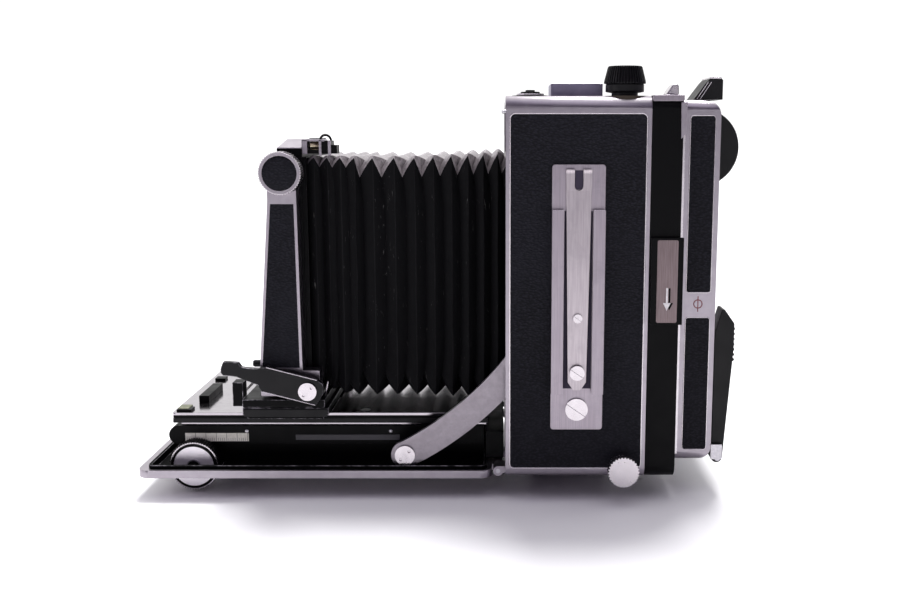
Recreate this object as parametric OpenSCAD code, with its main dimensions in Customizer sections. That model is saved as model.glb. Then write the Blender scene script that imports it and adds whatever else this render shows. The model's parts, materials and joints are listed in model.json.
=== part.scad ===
// Drop-bed folding camera with a pleated bellows and a roll-film back.
// +Z is up, the lens end points along -X and the film back along +X.
// The origin is the mouth of the tripod socket, under the middle of the case.

/* [Case] */
// Width of the case, side to side
case_w = 130; // [112:1:156]
// Height of the case
case_h = 156; // [145:1:188]
// Depth of the case, front to back
case_d = 57.6; // [52:0.2:70]
// Thickness of the case wall
case_wall = 3; // [2.5:0.1:3.6]
// Rounding of the case's four long edges
case_edge_r = 5; // [3:0.5:6]
// Height of the tripod block under the case
foot_h = 10.5; // [9:0.5:13]
// Thickness of the leather skins
leather_t = 0.8; // [0.5:0.1:1.2]
// Length of the accessory shoe on the side
shoe_l = 108.1; // [90:0.1:120]
// Width of the accessory shoe, over its rails
shoe_w = 21.2; // [18:0.1:24]

/* [Bed] */
// Length of the bed, from the hinge gap to its front edge
bed_l = 148.9; // [147.6:0.1:172]
// Height of the silver tray wall
bed_wall_h = 3.3; // [3:0.1:3.9]
// Height of the black liner's rim above the tray's underside
bed_rim_h = 4.9; // [4.2:0.1:5]
// Width of the curved struts
strut_w = 11.4; // [9:0.1:12]
// Thickness of the struts
strut_t = 2.2; // [1.6:0.1:2.4]
// Radius that the struts are bent to
strut_bend_r = 140; // [120:1:168]
// Reach of a strut along its curve, pivot to slide pin
strut_reach = 62; // [60:0.5:66]

/* [Track] */
// Height of the fixed rails above the bed floor
rail_h = 16.1; // [16:0.1:17]
// Thickness of the sliding track plate
track_t = 3.8; // [3:0.1:4.5]
// Radius of the focusing knobs
focus_knob_r = 10.6; // [9:0.1:10.9]
// Teeth on each focusing pinion
pinion_teeth = 12; // [10:1:14]
// Tooth pitch of rack and pinion, along the pitch line
tooth_pitch = 1.885; // [1.8:0.005:1.95]

/* [Front standard] */
// Thickness of the two upright arms
arm_t = 7.5; // [6:0.1:8]
// Radius of the knobs at the top of the arms
arm_knob_r = 8.9; // [7:0.1:10]
// Radius of the shutter hole in the lens board
shutter_r = 17.3; // [12:0.1:21]
// Height of the square lens board
board_h = 76; // [70:1:80]
// Number of pleats in the bellows
pleats = 13; // [9:1:18]
// Depth of each pleat
pleat_depth = 5; // [3:0.5:6]

/* [Back] */
// Depth of the sliding back frame
back_frame_d = 12.3; // [11:0.1:14]
// Depth of the film back, without its spool covers
film_back_d = 15; // [14:0.1:17]
// Width of the picture gate
gate_w = 56; // [40:1:58]
// Height of the picture gate
gate_h = 84; // [56:1:86]
// Flange radius of the film spools
spool_r = 10.9; // [9.5:0.1:11]
// Radius of the four extension rods
rod_r = 2.5; // [2:0.1:3]

/* [Fits] */
// Radial gap of a shaft that turns or slides in a bore
run_gap = 0.05; // [0.02:0.01:0.1]
// Gap between pieces that slide past each other
slide_gap = 0.3; // [0.2:0.05:0.5]

/* [Hidden] */
$fn = 64;

cut = 1;

// Case
case_hw = case_w / 2;
case_z0 = foot_h;
case_z1 = foot_h + case_h;
case_x0 = -case_d / 2;
case_x1 = case_d / 2;
cavity_hw = case_hw - case_wall;
cavity_z0 = case_z0 + case_wall;
cavity_z1 = case_z1 - case_wall;
axis_z = case_z0 + case_h / 2;
panel_edge = 1.7;
panel_x0 = case_x0 + panel_edge;
panel_x1 = case_x1 - panel_edge;
panel_z0 = case_z0 + 4.3;
panel_z1 = case_z1 - 6.9;
panel_r = 2;

// Tripod block and its reducing bush
foot_hl = 17;
foot_hw = 21;
bush_r = 4.76;
bush_l = 8;
socket_r = 3.175;
socket_l = 7;

// Accessory shoe on the near side
shoe_x = 0.2;
shoe_z0 = case_z0 + 21.1;
shoe_z1 = shoe_z0 + shoe_l;
shoe_plate_t = 1;
shoe_rail_w = 4.8;
shoe_rail_h = 1.9;
shoe_lip_w = 2;
shoe_face = case_hw + shoe_plate_t;
shoe_rail_z0 = shoe_z0 + 15.4;
shoe_rail_z1 = shoe_z1 - 17.9;
tongue_z0 = shoe_z0 + 16.7;
tongue_z1 = shoe_z1 - 1.7;
tongue_t = 0.7;
tongue_y = shoe_face + 0.9;

// Top of the case
top_y = -(case_hw - 13);
top_knob_x = 19.3;
top_knob_r = 8.4;
top_knob_top_r = 7;
top_knob_h = 12;
top_knob_seat = case_z1 - 2;
button_x = -18.9;
finder_x0 = -10;
finder_x1 = 11.5;
finder_h = 5.6;
finder_y0 = -(case_hw - 24.5);
finder_y1 = finder_y0 + 21.5;

// Hinge of the bed
hinge_x = case_x0 - 3.1;
hinge_z = case_z0 + 0.7;
barrel_r = 2.1;
hinge_pin_r = 1;
knuckle_outer = case_hw - 7;
knuckle_mid = case_hw - 15;
knuckle_inner = case_hw - 29;
knuckle_end = case_hw - 35;

// Bed
bed_hw = cavity_hw - 1;
bed_x1 = hinge_x - 2.7;
bed_x0 = bed_x1 - bed_l;
bed_z0 = hinge_z - 2.2;
bed_floor_t = 1.2;
bed_wall = 2;
bed_lip = 4;
liner_t = 0.5;
liner_wall = 1.4;
liner_z0 = bed_z0 + bed_floor_t;
liner_top = bed_z0 + bed_rim_h;
deck_z = liner_z0 + liner_t;
bed_corner_r = 5;

// Focusing drive
shaft_x = bed_x0 + 21.5;
shaft_z = hinge_z;
shaft_r = 1.5;
pinion_pitch_r = pinion_teeth * tooth_pitch / (2 * PI);
tooth_up = 0.5;
tooth_down = 0.6;
tooth_tip_w = 0.42;
tooth_root_w = 0.8;
trough_hw = pinion_pitch_r + tooth_up + 0.5;
trough_z0 = shaft_z - pinion_pitch_r - tooth_up - 0.3;
trough_wall = 1;
rack_inner = 22;
rack_t = 4;
rack_pitch_z = shaft_z + pinion_pitch_r;
knob_inner = bed_hw - 16.5;
knob_outer = bed_hw - 10;
knob_slot_gap = 0.6;
disc_t = 0.5;
lock_x = shaft_x + 16;
bearing_y0 = 28;
bearing_y1 = 32;

// Rails and track
rail_outer = knob_inner - 1;
rail_inner = rail_outer - 9.5;
rail_web_inner = rail_outer - 7.5;
rail_web_outer = rail_outer - 2.5;
rail_top = deck_z + rail_h;
rail_flange_z = rail_top - 7.8;
rail_x0 = bed_x0 + 9;
rail_x1 = bed_x1 - 3.5;
rail_end_r = 4.1;
runner_h = 2.2;
runner_gap = 0.2;
track_hw = rail_outer + 1.5;
track_z0 = rail_top + runner_gap + runner_h;
track_z1 = track_z0 + track_t;
track_x0 = bed_x0 + 11.2;
track_x1 = bed_x1 - 1.6;

// Struts
strut_outer = bed_hw - 5;
strut_inner = strut_outer - strut_t;
strut_x = hinge_x - 39.3;
strut_z = hinge_z + 6.4;
strut_start_a = 27;
strut_sweep = strut_reach / strut_bend_r * 180 / PI;
strut_pin_r = 1.5;
strut_boss_r = strut_w / 2 + 0.15;
strut_stud_r = 2;
strut_head_r = 4.3;
strut_head_t = 1.1;
strut_cx = strut_x - strut_bend_r * sin(strut_start_a);
strut_cz = strut_z + strut_bend_r * cos(strut_start_a);
strut_pin_x = strut_cx + strut_bend_r * sin(strut_start_a + strut_sweep);
strut_pin_z = strut_cz - strut_bend_r * cos(strut_start_a + strut_sweep);
guide_travel = 13;
guide_inner = strut_outer + 1;

// Front standard
arm_outer = bed_hw - 14;
arm_inner = arm_outer - arm_t;
carriage_hw = arm_outer + 3;
carriage_x0 = bed_x0 + 42.9;
carriage_x1 = carriage_x0 + 36.6;
carriage_z0 = track_z1 - 1.4;
carriage_z1 = track_z1 + 3.4;
shift_z0 = carriage_z1 + 0.2;
shift_z1 = shift_z0 + 3.4;
pivot_x = carriage_x1 - 8.1;
pivot_z = shift_z1 + 4.4;
ear_r = 4.8;
ear_inner = arm_outer + slide_gap;
tilt_pin_r = 2;
foot_x0 = pivot_x - 21;
foot_x1 = pivot_x + 4.2;
foot_z0 = pivot_z - 3.6;
foot_z1 = pivot_z + 7.6;
lever_inner = carriage_hw + slide_gap;
lever_t = 2.7;
lever_outer = lever_inner + lever_t;
screw_r = 3.9;
arm_knob_x = pivot_x - 9;
arm_knob_z = case_z1 - 30.8;
arm_top_z = arm_knob_z - 11.7;
arm_knob_inner = arm_outer + 0.4;
arm_knob_outer = arm_outer + 6.5;
arm_top_r = 7.6;
arm_lean = 0.6;
inlay_edge = 1.2;
inlay_t = 0.6;
frame_hw = arm_inner - slide_gap;
frame_x0 = arm_knob_x - 4.4;
frame_x1 = arm_knob_x + 6.7;
frame_z0 = foot_z1 - 3.5;
frame_z1 = case_z1 - 24.5;
board_hw = frame_hw - 2.3;
board_t = 2.7;
board_z0 = axis_z - board_h / 2;
board_z1 = axis_z + board_h / 2;
bellows_frame_t = 2;
bellows_x0 = frame_x1 + bellows_frame_t;
bellows_x1 = case_x1 - 5.8;
bellows_z0 = track_z1 + 7.5;
bellows_z1 = case_z1 - 23.8;
bellows_front_hw = frame_hw;
bellows_hw = arm_outer - 3.5;
bellows_wall = 0.8;
bridge_x1 = bellows_x0 + 12.8;
bridge_hw = frame_hw - 1.2;
bridge_slope_w = 12;
bridge_z0 = frame_z1 + 1.4;

// Back frame and film back
back_x0 = case_x1 + 0.2;
back_x1 = back_x0 + back_frame_d;
tunnel_hw = bellows_hw - pleat_depth + 1.5;
tunnel_z0 = bellows_z0 + pleat_depth - 1;
tunnel_z1 = bellows_z1 - pleat_depth + 1;
ring_hw = bellows_hw + 1;
rod_y_pos = cavity_hw - 5.5;
rod_z_low = cavity_z0 + 5.5;
rod_z_high = cavity_z1 - 5.5;
rod_l = 36;
guide_block = 10.5;
guide_l = 16;
film_x0 = back_x1 + 2.4;
film_x1 = film_x0 + film_back_d;
film_hw = case_hw - 13;
film_z0 = case_z0 + 3.4;
film_z1 = case_z1 - 1.2;
film_wall = 1.5;
gate_t = 2;
film_corner_r = 6.5;
spool_hl = 32.5;
spool_x = film_x0 + 0.5 + spool_r + 0.3;
spool_low_z = film_z0 + 18;
spool_high_z = film_z1 - 19.5;
chamber_r = spool_r + 0.3;
chamber_hl = spool_hl + 2.5;
spindle_r = 2.5;
cover_r = 16.4;
cover_high_x = film_x1 + 11 - cover_r;
cover_low_x = film_x1 + 8.4 - cover_r;
slide_t = 0.5;
slide_hw = 32;
slide_pull = 7;
hook_y1 = -(film_hw + 1.5);
hook_y0 = hook_y1 - 4;
slider_z0 = case_z0 + 65;
slider_z1 = slider_z0 + 35.2;
insert_low_z1 = film_z0 + 62;
insert_high_z0 = film_z0 + 72.5;
lever_pin_x = film_x1 + 2.9;
lever_pin_z = case_z0 + 4.5;
lever_pin_r = 1.2;
lever_y0 = -film_hw + 1.5;
lever_y1 = lever_y0 + 10;
side_knob_x = 19.3;
side_knob_z = case_z0 + 5;
side_knob_r = 6.4;

// Extrudes a drawing of Y and Z along X
module along_x(x0, x1)
    translate([x0, 0, 0])
    rotate([90, 0, 90])
    linear_extrude(x1 - x0)
    children();

// Extrudes a drawing of X and Z along Y
module along_y(y0, y1)
    translate([0, y1, 0])
    rotate([90, 0, 0])
    linear_extrude(y1 - y0)
    children();

// Extrudes a drawing of X and Y along Z
module along_z(z0, z1)
    translate([0, 0, z0])
    linear_extrude(z1 - z0)
    children();

module slab(x0, x1, y0, y1, z0, z1)
    translate([x0, y0, z0])
    cube([x1 - x0, y1 - y0, z1 - z0]);

module rod_along_x(y, z, r, x0, x1)
    along_x(x0, x1) translate([y, z]) circle(r);

module rod_along_y(x, z, r, y0, y1)
    along_y(y0, y1) translate([x, z]) circle(r);

module rod_along_z(x, y, r, z0, z1)
    along_z(z0, z1) translate([x, y]) circle(r);

// The children on the near side and their mirror image on the far side
module both_sides() {
    children();
    mirror([0, 1, 0]) children();
}

// Rectangle with round corners
module rounded(x0, x1, y0, y1, r) {
    translate([x0 + r, y0]) square([x1 - x0 - 2 * r, y1 - y0]);
    translate([x0, y0 + r]) square([x1 - x0, y1 - y0 - 2 * r]);
    for (x = [x0 + r, x1 - r], y = [y0 + r, y1 - r])
        translate([x, y]) circle(r);
}

// Round outline with straight knurling
module knurled(r, teeth, depth)
    polygon([for (i = [0 : 4 * teeth - 1])
        let (a = i * 90 / teeth, q = i % 4 < 2 ? r : r - depth)
        [q * cos(a), q * sin(a)]]);

// Round-headed screw along -Y with a slot, its head standing on face_y
module slotted_screw(x, z, head_r, head_t, shank_r, shank_l, face_y) {
    difference() {
        rod_along_y(x, z, head_r, face_y - head_t, face_y);
        translate([x, face_y - head_t, z])
            rotate([0, 35, 0])
            cube([2 * head_r + cut, head_t, head_r * 0.22], center = true);
    }
    rod_along_y(x, z, shank_r, face_y, face_y + shank_l);
}

// Flat screw along -Y with two pin holes
module pin_screw(x, z, head_r, y0, y1)
    difference() {
        rod_along_y(x, z, head_r, y0, y1);
        for (s = [-1, 1])
            rod_along_y(x + s * head_r * 0.42, z + s * head_r * 0.42, head_r * 0.13, y0 - cut, y0 + 0.6);
    }

// ---- Case ----

module side_panel(y0, y1)
    along_y(y0, y1) rounded(panel_x0, panel_x1, panel_z0, panel_z1, panel_r);

module case_knuckle(y0, y1) {
    rod_along_y(hinge_x, hinge_z, barrel_r, y0, y1);
    slab(hinge_x, case_x0, y0, y1, case_z0, hinge_z + barrel_r);
}

module case_shell() color("silver") difference() {
    union() {
        difference() {
            along_x(case_x0, case_x1) rounded(-case_hw, case_hw, case_z0, case_z1, case_edge_r);
            slab(case_x0 - cut, case_x1 + cut, -cavity_hw, cavity_hw, cavity_z0, cavity_z1);
        }
        both_sides() {
            case_knuckle(-knuckle_outer, -knuckle_mid);
            case_knuckle(-knuckle_inner, -knuckle_end);
        }
    }
    both_sides() {
        side_panel(-case_hw - cut, -case_hw + leather_t);
        rod_along_y(hinge_x, hinge_z, hinge_pin_r, -knuckle_outer, -knuckle_end);
        rod_along_y(side_knob_x, side_knob_z, shaft_r + run_gap, -case_hw - cut, -cavity_hw + cut);
    }
    rod_along_z(top_knob_x, top_y, top_knob_r + 0.8, top_knob_seat, case_z1 + cut);
    rod_along_z(top_knob_x, top_y, tilt_pin_r + run_gap, cavity_z1 - cut, case_z1);
    rod_along_z(button_x, top_y, 3.9 + run_gap, cavity_z1 - cut, case_z1 + cut);
}

module side_leathers() color("#1c1c1e") both_sides() difference() {
    side_panel(-case_hw, -case_hw + leather_t);
    rod_along_y(side_knob_x, side_knob_z, side_knob_r * 0.75, -case_hw - cut, -case_hw + cut);
}

module tripod_block() color("dimgray") difference() {
    along_z(0, foot_h) rounded(-foot_hl, foot_hl, -foot_hw, foot_hw, 3);
    rod_along_z(0, 0, bush_r, -cut, bush_l);
}

module tripod_bush() color("silver") difference() {
    rod_along_z(0, 0, bush_r, 0, bush_l);
    rod_along_z(0, 0, socket_r, -cut, socket_l);
}

module hinge_pins() color("silver") both_sides()
    rod_along_y(hinge_x, hinge_z, hinge_pin_r, -knuckle_outer, -knuckle_end);

// Base plate with two rails whose lips point inward over the slot
module side_shoe() color("#b9bbc2") difference() {
    union() {
        along_y(-shoe_face, -case_hw)
            rounded(shoe_x - shoe_w / 2, shoe_x + shoe_w / 2, shoe_z0, shoe_z1, 1.2);
        for (s = [-1, 1]) {
            foot_x = shoe_x + s * (shoe_w / 2 - (shoe_rail_w - shoe_lip_w) / 2);
            lip_x = shoe_x + s * (shoe_w / 2 - shoe_rail_w / 2);
            translate([foot_x, -shoe_face - shoe_rail_h / 2, (shoe_rail_z0 + shoe_rail_z1) / 2])
                cube([shoe_rail_w - shoe_lip_w, shoe_rail_h, shoe_rail_z1 - shoe_rail_z0], center = true);
            translate([lip_x, -shoe_face - shoe_rail_h - 0.4, (shoe_rail_z0 + shoe_rail_z1) / 2])
                cube([shoe_rail_w, 0.8, shoe_rail_z1 - shoe_rail_z0], center = true);
        }
    }
    for (z = [shoe_z0 + 8.6, shoe_z0 + 24.2, shoe_z0 + 46.6])
        rod_along_y(shoe_x, z, 1.2, -shoe_face - cut, -case_hw + cut);
}

// Leaf spring that tapers down and is split at its free upper end
module side_shoe_spring() color("#c9cad0") difference() {
    along_y(-tongue_y - tongue_t, -tongue_y)
        polygon([[shoe_x - 3.4, tongue_z0], [shoe_x + 3.4, tongue_z0],
            [shoe_x + 5.3, tongue_z1 - 12], [shoe_x + 5.3, tongue_z1],
            [shoe_x - 5.3, tongue_z1], [shoe_x - 5.3, tongue_z1 - 12]]);
    along_y(-tongue_y - tongue_t - cut, -tongue_y + cut) {
        translate([shoe_x, tongue_z1 - 6.3]) circle(1.7);
        translate([shoe_x - 1.7, tongue_z1 - 6.3]) square([3.4, 8]);
    }
    for (z = [shoe_z0 + 24.2, shoe_z0 + 46.6])
        rod_along_y(shoe_x, z, 1.2, -tongue_y - tongue_t - cut, -tongue_y + cut);
}

module side_shoe_screws() color("silver") {
    leaf_face = -tongue_y - tongue_t;
    slotted_screw(shoe_x, shoe_z0 + 8.6, 4.6, 1.1, 1.2, shoe_plate_t, -shoe_face);
    slotted_screw(shoe_x, shoe_z0 + 24.2, 3.05, 1.2, 1.2, -leaf_face - case_hw, leaf_face);
    slotted_screw(shoe_x, shoe_z0 + 46.6, 1.85, 0.8, 1.2, -leaf_face - case_hw, leaf_face);
}

// Accessory shoe on the top: a plate with two folded lips
module finder_shoe() color("#8d8a9a") difference() {
    slab(finder_x0, finder_x1, finder_y0, finder_y1, case_z1, case_z1 + finder_h);
    slab(finder_x0 + 2, finder_x1 + cut, finder_y0 + 1.2, finder_y1 - 1.2,
        case_z1 + 1.4, case_z1 + finder_h - 1.2);
    slab(finder_x0 + 2, finder_x1 + cut, finder_y0 + 4.4, finder_y1 - 4.4,
        case_z1 + 1.4, case_z1 + finder_h + cut);
}

module finder_knob() color("#161618") {
    rod_along_z(top_knob_x, top_y, top_knob_r * 0.88, top_knob_seat + slide_gap, case_z1 + 4.5);
    translate([top_knob_x, top_y, case_z1 + 4.5])
        cylinder(r1 = top_knob_r, r2 = top_knob_top_r, h = top_knob_h - 4.5);
    rod_along_z(top_knob_x, top_y, tilt_pin_r, cavity_z1 + 0.1, top_knob_seat + slide_gap);
}

// Stepped button that lets the bed catch go, with its collar
module bed_release_button() color("#202022") {
    rod_along_z(button_x, top_y, 3.9, cavity_z1 - 4, case_z1 + 1.9);
    rod_along_z(button_x, top_y, 1.9, case_z1 + 1.9, case_z1 + 2.6);
    rod_along_z(button_x, top_y, 5.4, cavity_z1 - 5, cavity_z1 - 4);
}

module rod_guides() color("gray") both_sides()
    for (z = [rod_z_low, rod_z_high]) difference() {
        z0 = z < axis_z ? cavity_z0 : cavity_z1 - guide_block;
        slab(case_x1 - 6.5 - guide_l, case_x1 - 6.5, -cavity_hw, -cavity_hw + guide_block,
            z0, z0 + guide_block);
        rod_along_x(-rod_y_pos, z, rod_r + run_gap, case_x0, case_x1);
    }

// Upright slots that the strut pins run in
module strut_guides() color("gray") both_sides() difference() {
    slab(case_x0 + 1, strut_pin_x + 5, -cavity_hw, -guide_inner,
        strut_pin_z - guide_travel - 4, strut_pin_z + 5);
    slab(strut_pin_x - strut_pin_r - 0.8, strut_pin_x + strut_pin_r + 0.5,
        -cavity_hw - cut, -guide_inner + cut, strut_pin_z - guide_travel, strut_pin_z + 2.5);
}

// Short rails that carry the standard when it is parked in the case
module body_track() color("#2a2a2c") both_sides()
    slab(case_x0 + 1.5, case_x0 + 46, -rail_outer, -rail_outer + 6, cavity_z0, track_z1);

// ---- Bellows ----

// A ring is wide only where the slope that leads to it clears the arms' feet
function bellows_ring_hw(x, t) =
    let (slope = 0.4 * (bellows_x1 - bellows_x0) / (2 * pleats),
        hw = x - slope < foot_x1 + 1 ? bellows_front_hw - 0.8 : bellows_hw)
    [hw - t, (bellows_z1 - bellows_z0) / 2 - t];

module bellows() color("#101012") {
    rings = 2 * pleats;
    mid_z = (bellows_z0 + bellows_z1) / 2;
    ring = function (i, inset)
        let (x = bellows_x0 + (bellows_x1 - bellows_x0) * i / rings,
            s = bellows_ring_hw(x, inset + (i % 2 == 1 ? 0 : pleat_depth)))
        [[x, -s[0], mid_z - s[1]], [x, s[0], mid_z - s[1]],
            [x, s[0], mid_z + s[1]], [x, -s[0], mid_z + s[1]]];
    points = [for (i = [0 : rings]) for (inset = [0, bellows_wall]) each ring(i, inset)];
    outer = [for (i = [0 : rings - 1]) for (k = [0 : 3])
        let (a = 8 * i + k, b = 8 * i + (k + 1) % 4)
        each [[a, a + 8, b + 8], [a, b + 8, b]]];
    inner = [for (i = [0 : rings - 1]) for (k = [0 : 3])
        let (a = 8 * i + 4 + k, b = 8 * i + 4 + (k + 1) % 4)
        each [[a, b + 8, a + 8], [a, b, b + 8]]];
    ends = [for (i = [0, rings]) for (k = [0 : 3])
        let (a = 8 * i + k, b = 8 * i + (k + 1) % 4,
            quad = i == 0 ? [a, b, b + 4, a + 4] : [a, a + 4, b + 4, b])
        quad];
    polyhedron(points, concat(outer, inner, ends));
}

// ---- Knobs that lock the extending back ----

module back_lock_knob() color("silver") {
    translate([side_knob_x, -case_hw - 3.4, side_knob_z])
        rotate([90, 0, 0])
        linear_extrude(5)
        knurled(side_knob_r, 30, 0.5);
    rod_along_y(side_knob_x, side_knob_z, side_knob_r * 0.55, -case_hw - 3.4, -case_hw - 0.2);
    rod_along_y(side_knob_x, side_knob_z, shaft_r, -case_hw - 0.2, -cavity_hw - 0.2);
}

module back_lock_knob_left() back_lock_knob();

module back_lock_knob_right() mirror([0, 1, 0]) back_lock_knob();

// ---- Bed ----

module knob_slots(z0, z1) both_sides()
    slab(shaft_x - focus_knob_r - knob_slot_gap, shaft_x + focus_knob_r + knob_slot_gap,
        -knob_outer - 1.2, -knob_inner + 0.7, z0, z1);

module bed() color("silver") difference() {
    union() {
        difference() {
            along_z(bed_z0, bed_z0 + bed_wall_h)
                rounded(bed_x0, bed_x1, -bed_hw, bed_hw, bed_corner_r);
            along_z(liner_z0, liner_top)
                rounded(bed_x0 + bed_lip, bed_x1 - bed_wall,
                    -bed_hw + bed_wall, bed_hw - bed_wall, bed_corner_r - bed_wall);
        }
        slab(shaft_x - trough_hw - trough_wall, shaft_x + trough_hw + trough_wall,
            -knob_inner, knob_inner, trough_z0 - trough_wall, bed_z0);
        both_sides() {
            rod_along_y(hinge_x, hinge_z, barrel_r, -knuckle_mid + slide_gap, -knuckle_inner - slide_gap);
            slab(bed_x1 - cut, hinge_x, -knuckle_mid + slide_gap, -knuckle_inner - slide_gap,
                bed_z0, bed_z0 + 2.6);
        }
    }
    slab(shaft_x - trough_hw, shaft_x + trough_hw, -knob_inner + trough_wall, knob_inner - trough_wall,
        trough_z0, liner_z0 + cut);
    knob_slots(bed_z0 - cut, liner_z0 + cut);
    both_sides() {
        rod_along_y(hinge_x, hinge_z, hinge_pin_r + run_gap, -knuckle_mid, -knuckle_inner);
        slab(shaft_x - shaft_r - 0.4, shaft_x + shaft_r + 0.4, -knob_inner - cut, -knob_inner + 2,
            shaft_z - shaft_r - 0.4, liner_z0 + cut);
    }
}

module bed_liner() color("#19191b") difference() {
    along_z(liner_z0, liner_top)
        rounded(bed_x0 + bed_lip, bed_x1 - bed_wall,
            -bed_hw + bed_wall, bed_hw - bed_wall, bed_corner_r - bed_wall);
    along_z(deck_z, liner_top + cut)
        rounded(bed_x0 + bed_lip + liner_wall, bed_x1 - bed_wall - liner_wall,
            -bed_hw + bed_wall + liner_wall, bed_hw - bed_wall - liner_wall,
            bed_corner_r - bed_wall - liner_wall);
    slab(shaft_x - trough_hw, shaft_x + trough_hw, -knob_inner, knob_inner, liner_z0 - cut, deck_z + cut);
    knob_slots(liner_z0 - cut, deck_z + cut);
}

// Fixed rails: a flange on a web, with a round stop at the front
module bed_rails() color("#17171a") both_sides() difference() {
    union() {
        slab(rail_x0 + rail_end_r, rail_x1, -rail_outer, -rail_inner, rail_flange_z, rail_top);
        slab(rail_x0 + rail_end_r, rail_x1, -rail_web_outer, -rail_web_inner, deck_z, rail_flange_z);
        rod_along_y(rail_x0 + rail_end_r, rail_top - rail_end_r, rail_end_r, -rail_outer, -rail_inner);
    }
    slab(shaft_x - 2.4, shaft_x + 2.4, -rail_outer - cut, -rail_inner + cut, deck_z - cut, shaft_z + 2.4);
}

module distance_scales() color("white") {
    slab(rail_x0 + 7, rail_x0 + 34.6, -rail_outer - 0.4, -rail_outer, rail_top - 6.8, rail_top - 3.2);
    slab(rail_x0 + 55, rail_x0 + 100, -rail_outer - 0.4, -rail_outer, rail_top - 6.2, rail_top - 3.9);
}

module shaft_bearings() color("gray") both_sides() difference() {
    union() {
        slab(shaft_x - trough_hw - 1.5, shaft_x + trough_hw + 1.5, -bearing_y1, -bearing_y0,
            deck_z, shaft_z + 4);
        slab(shaft_x - trough_hw + 0.2, shaft_x + trough_hw - 0.2, -bearing_y1, -bearing_y0,
            trough_z0, deck_z);
    }
    rod_along_y(shaft_x, shaft_z, shaft_r + run_gap, -bearing_y1 - cut, -bearing_y0 + cut);
}

// ---- Struts ----

module strut_lugs() color("#19191b") both_sides() difference() {
    union() {
        slab(strut_x - 6, strut_x + 6, -strut_inner + slide_gap, -strut_inner + 3, deck_z, strut_z);
        rod_along_y(strut_x, strut_z, 5, -strut_inner + slide_gap, -strut_inner + 3);
    }
    rod_along_y(strut_x, strut_z, strut_stud_r, -strut_inner - cut, -strut_inner + 3 + cut);
}

module strut_screws() color("silver") both_sides() {
    pin_screw(strut_x, strut_z, strut_head_r, -strut_outer - strut_head_t, -strut_outer - 0.1);
    rod_along_y(strut_x, strut_z, strut_stud_r, -strut_outer - 0.1, -strut_inner + 3);
}

// Curved flat arm from the bed pivot to the pin that runs in the case
module strut() color("#a9a9ae") {
    difference() {
        union() {
            translate([strut_cx, 0, strut_cz])
                rotate([90, 0, 0])
                rotate([0, 0, strut_start_a - 90])
                translate([0, 0, strut_inner])
                rotate_extrude(angle = strut_sweep)
                translate([strut_bend_r - strut_w / 2, 0])
                square([strut_w, strut_t]);
            rod_along_y(strut_x, strut_z, strut_boss_r, -strut_outer, -strut_inner);
            rod_along_y(strut_pin_x, strut_pin_z, strut_boss_r, -strut_outer, -strut_inner);
        }
        rod_along_y(strut_x, strut_z, strut_stud_r + run_gap, -strut_outer - cut, -strut_inner + cut);
    }
    rod_along_y(strut_pin_x, strut_pin_z, strut_pin_r, -strut_outer - 3.5, -strut_outer);
}

module strut_left() strut();

module strut_right() mirror([0, 1, 0]) strut();

// ---- Focusing drive ----

module pinion(y0, y1)
    translate([shaft_x, y1, shaft_z])
    rotate([90, 0, 0])
    linear_extrude(y1 - y0) {
        circle(pinion_pitch_r - tooth_down);
        for (i = [0 : pinion_teeth - 1])
            rotate(90 + i * 360 / pinion_teeth)
            polygon([[0, -tooth_root_w / 2], [pinion_pitch_r - tooth_down, -tooth_root_w / 2],
                [pinion_pitch_r + tooth_up, -tooth_tip_w / 2],
                [pinion_pitch_r + tooth_up, tooth_tip_w / 2],
                [pinion_pitch_r - tooth_down, tooth_root_w / 2], [0, tooth_root_w / 2]]);
    }

module focus_shaft() color("silver") {
    rod_along_y(shaft_x, shaft_z, shaft_r, -knob_outer, knob_outer);
    both_sides() {
        rod_along_y(shaft_x, shaft_z, 3, -knob_outer - disc_t - 0.6, -knob_outer);
        pinion(-rack_inner - rack_t, -rack_inner);
    }
}

module focus_knobs() color("#1b1b1d") both_sides() difference() {
    translate([shaft_x, -knob_inner, shaft_z])
        rotate([90, 0, 0])
        linear_extrude(knob_outer - knob_inner)
        knurled(focus_knob_r, 60, 0.45);
    rod_along_y(shaft_x, shaft_z, shaft_r, -knob_outer - cut, -knob_inner + cut);
}

module focus_knob_discs() color("#d9d9de") both_sides() difference() {
    rod_along_y(shaft_x, shaft_z, focus_knob_r - 1.4, -knob_outer - disc_t, -knob_outer);
    rod_along_y(shaft_x, shaft_z, 3, -knob_outer - disc_t - cut, -knob_outer + cut);
}

// Small lever that stops the track, on a stud between the rails
module focus_lock_lever() color("silver") {
    rod_along_z(lock_x, 0, 4, deck_z + 0.4, deck_z + 3);
    slab(lock_x - 22, lock_x, -2.5, 2.5, deck_z + 3, deck_z + 5);
    rod_along_z(lock_x, 0, 4, deck_z + 3, deck_z + 5);
    slab(lock_x - 24, lock_x - 22, -6, 6, deck_z + 3, deck_z + 7);
}

// ---- Track ----

module track_plate() color("#b4b4b8") {
    difference() {
        along_z(track_z0, track_z1) rounded(track_x0, track_x1, -track_hw, track_hw, 1.5);
        both_sides() slab(track_x0 - cut, track_x1 + cut, -track_hw - cut, -track_hw + 0.8,
            track_z0 + 1, track_z0 + 2.2);
        along_z(track_z1 - 0.8, track_z1 + cut)
            rounded(carriage_x0 - 10, track_x1 - 6, -18, 18, 3);
    }
    both_sides() slab(track_x0 + 3, track_x1, -rail_outer + 1.5, -rail_inner - 2,
        track_z0 - runner_h, track_z0);
}

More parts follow.
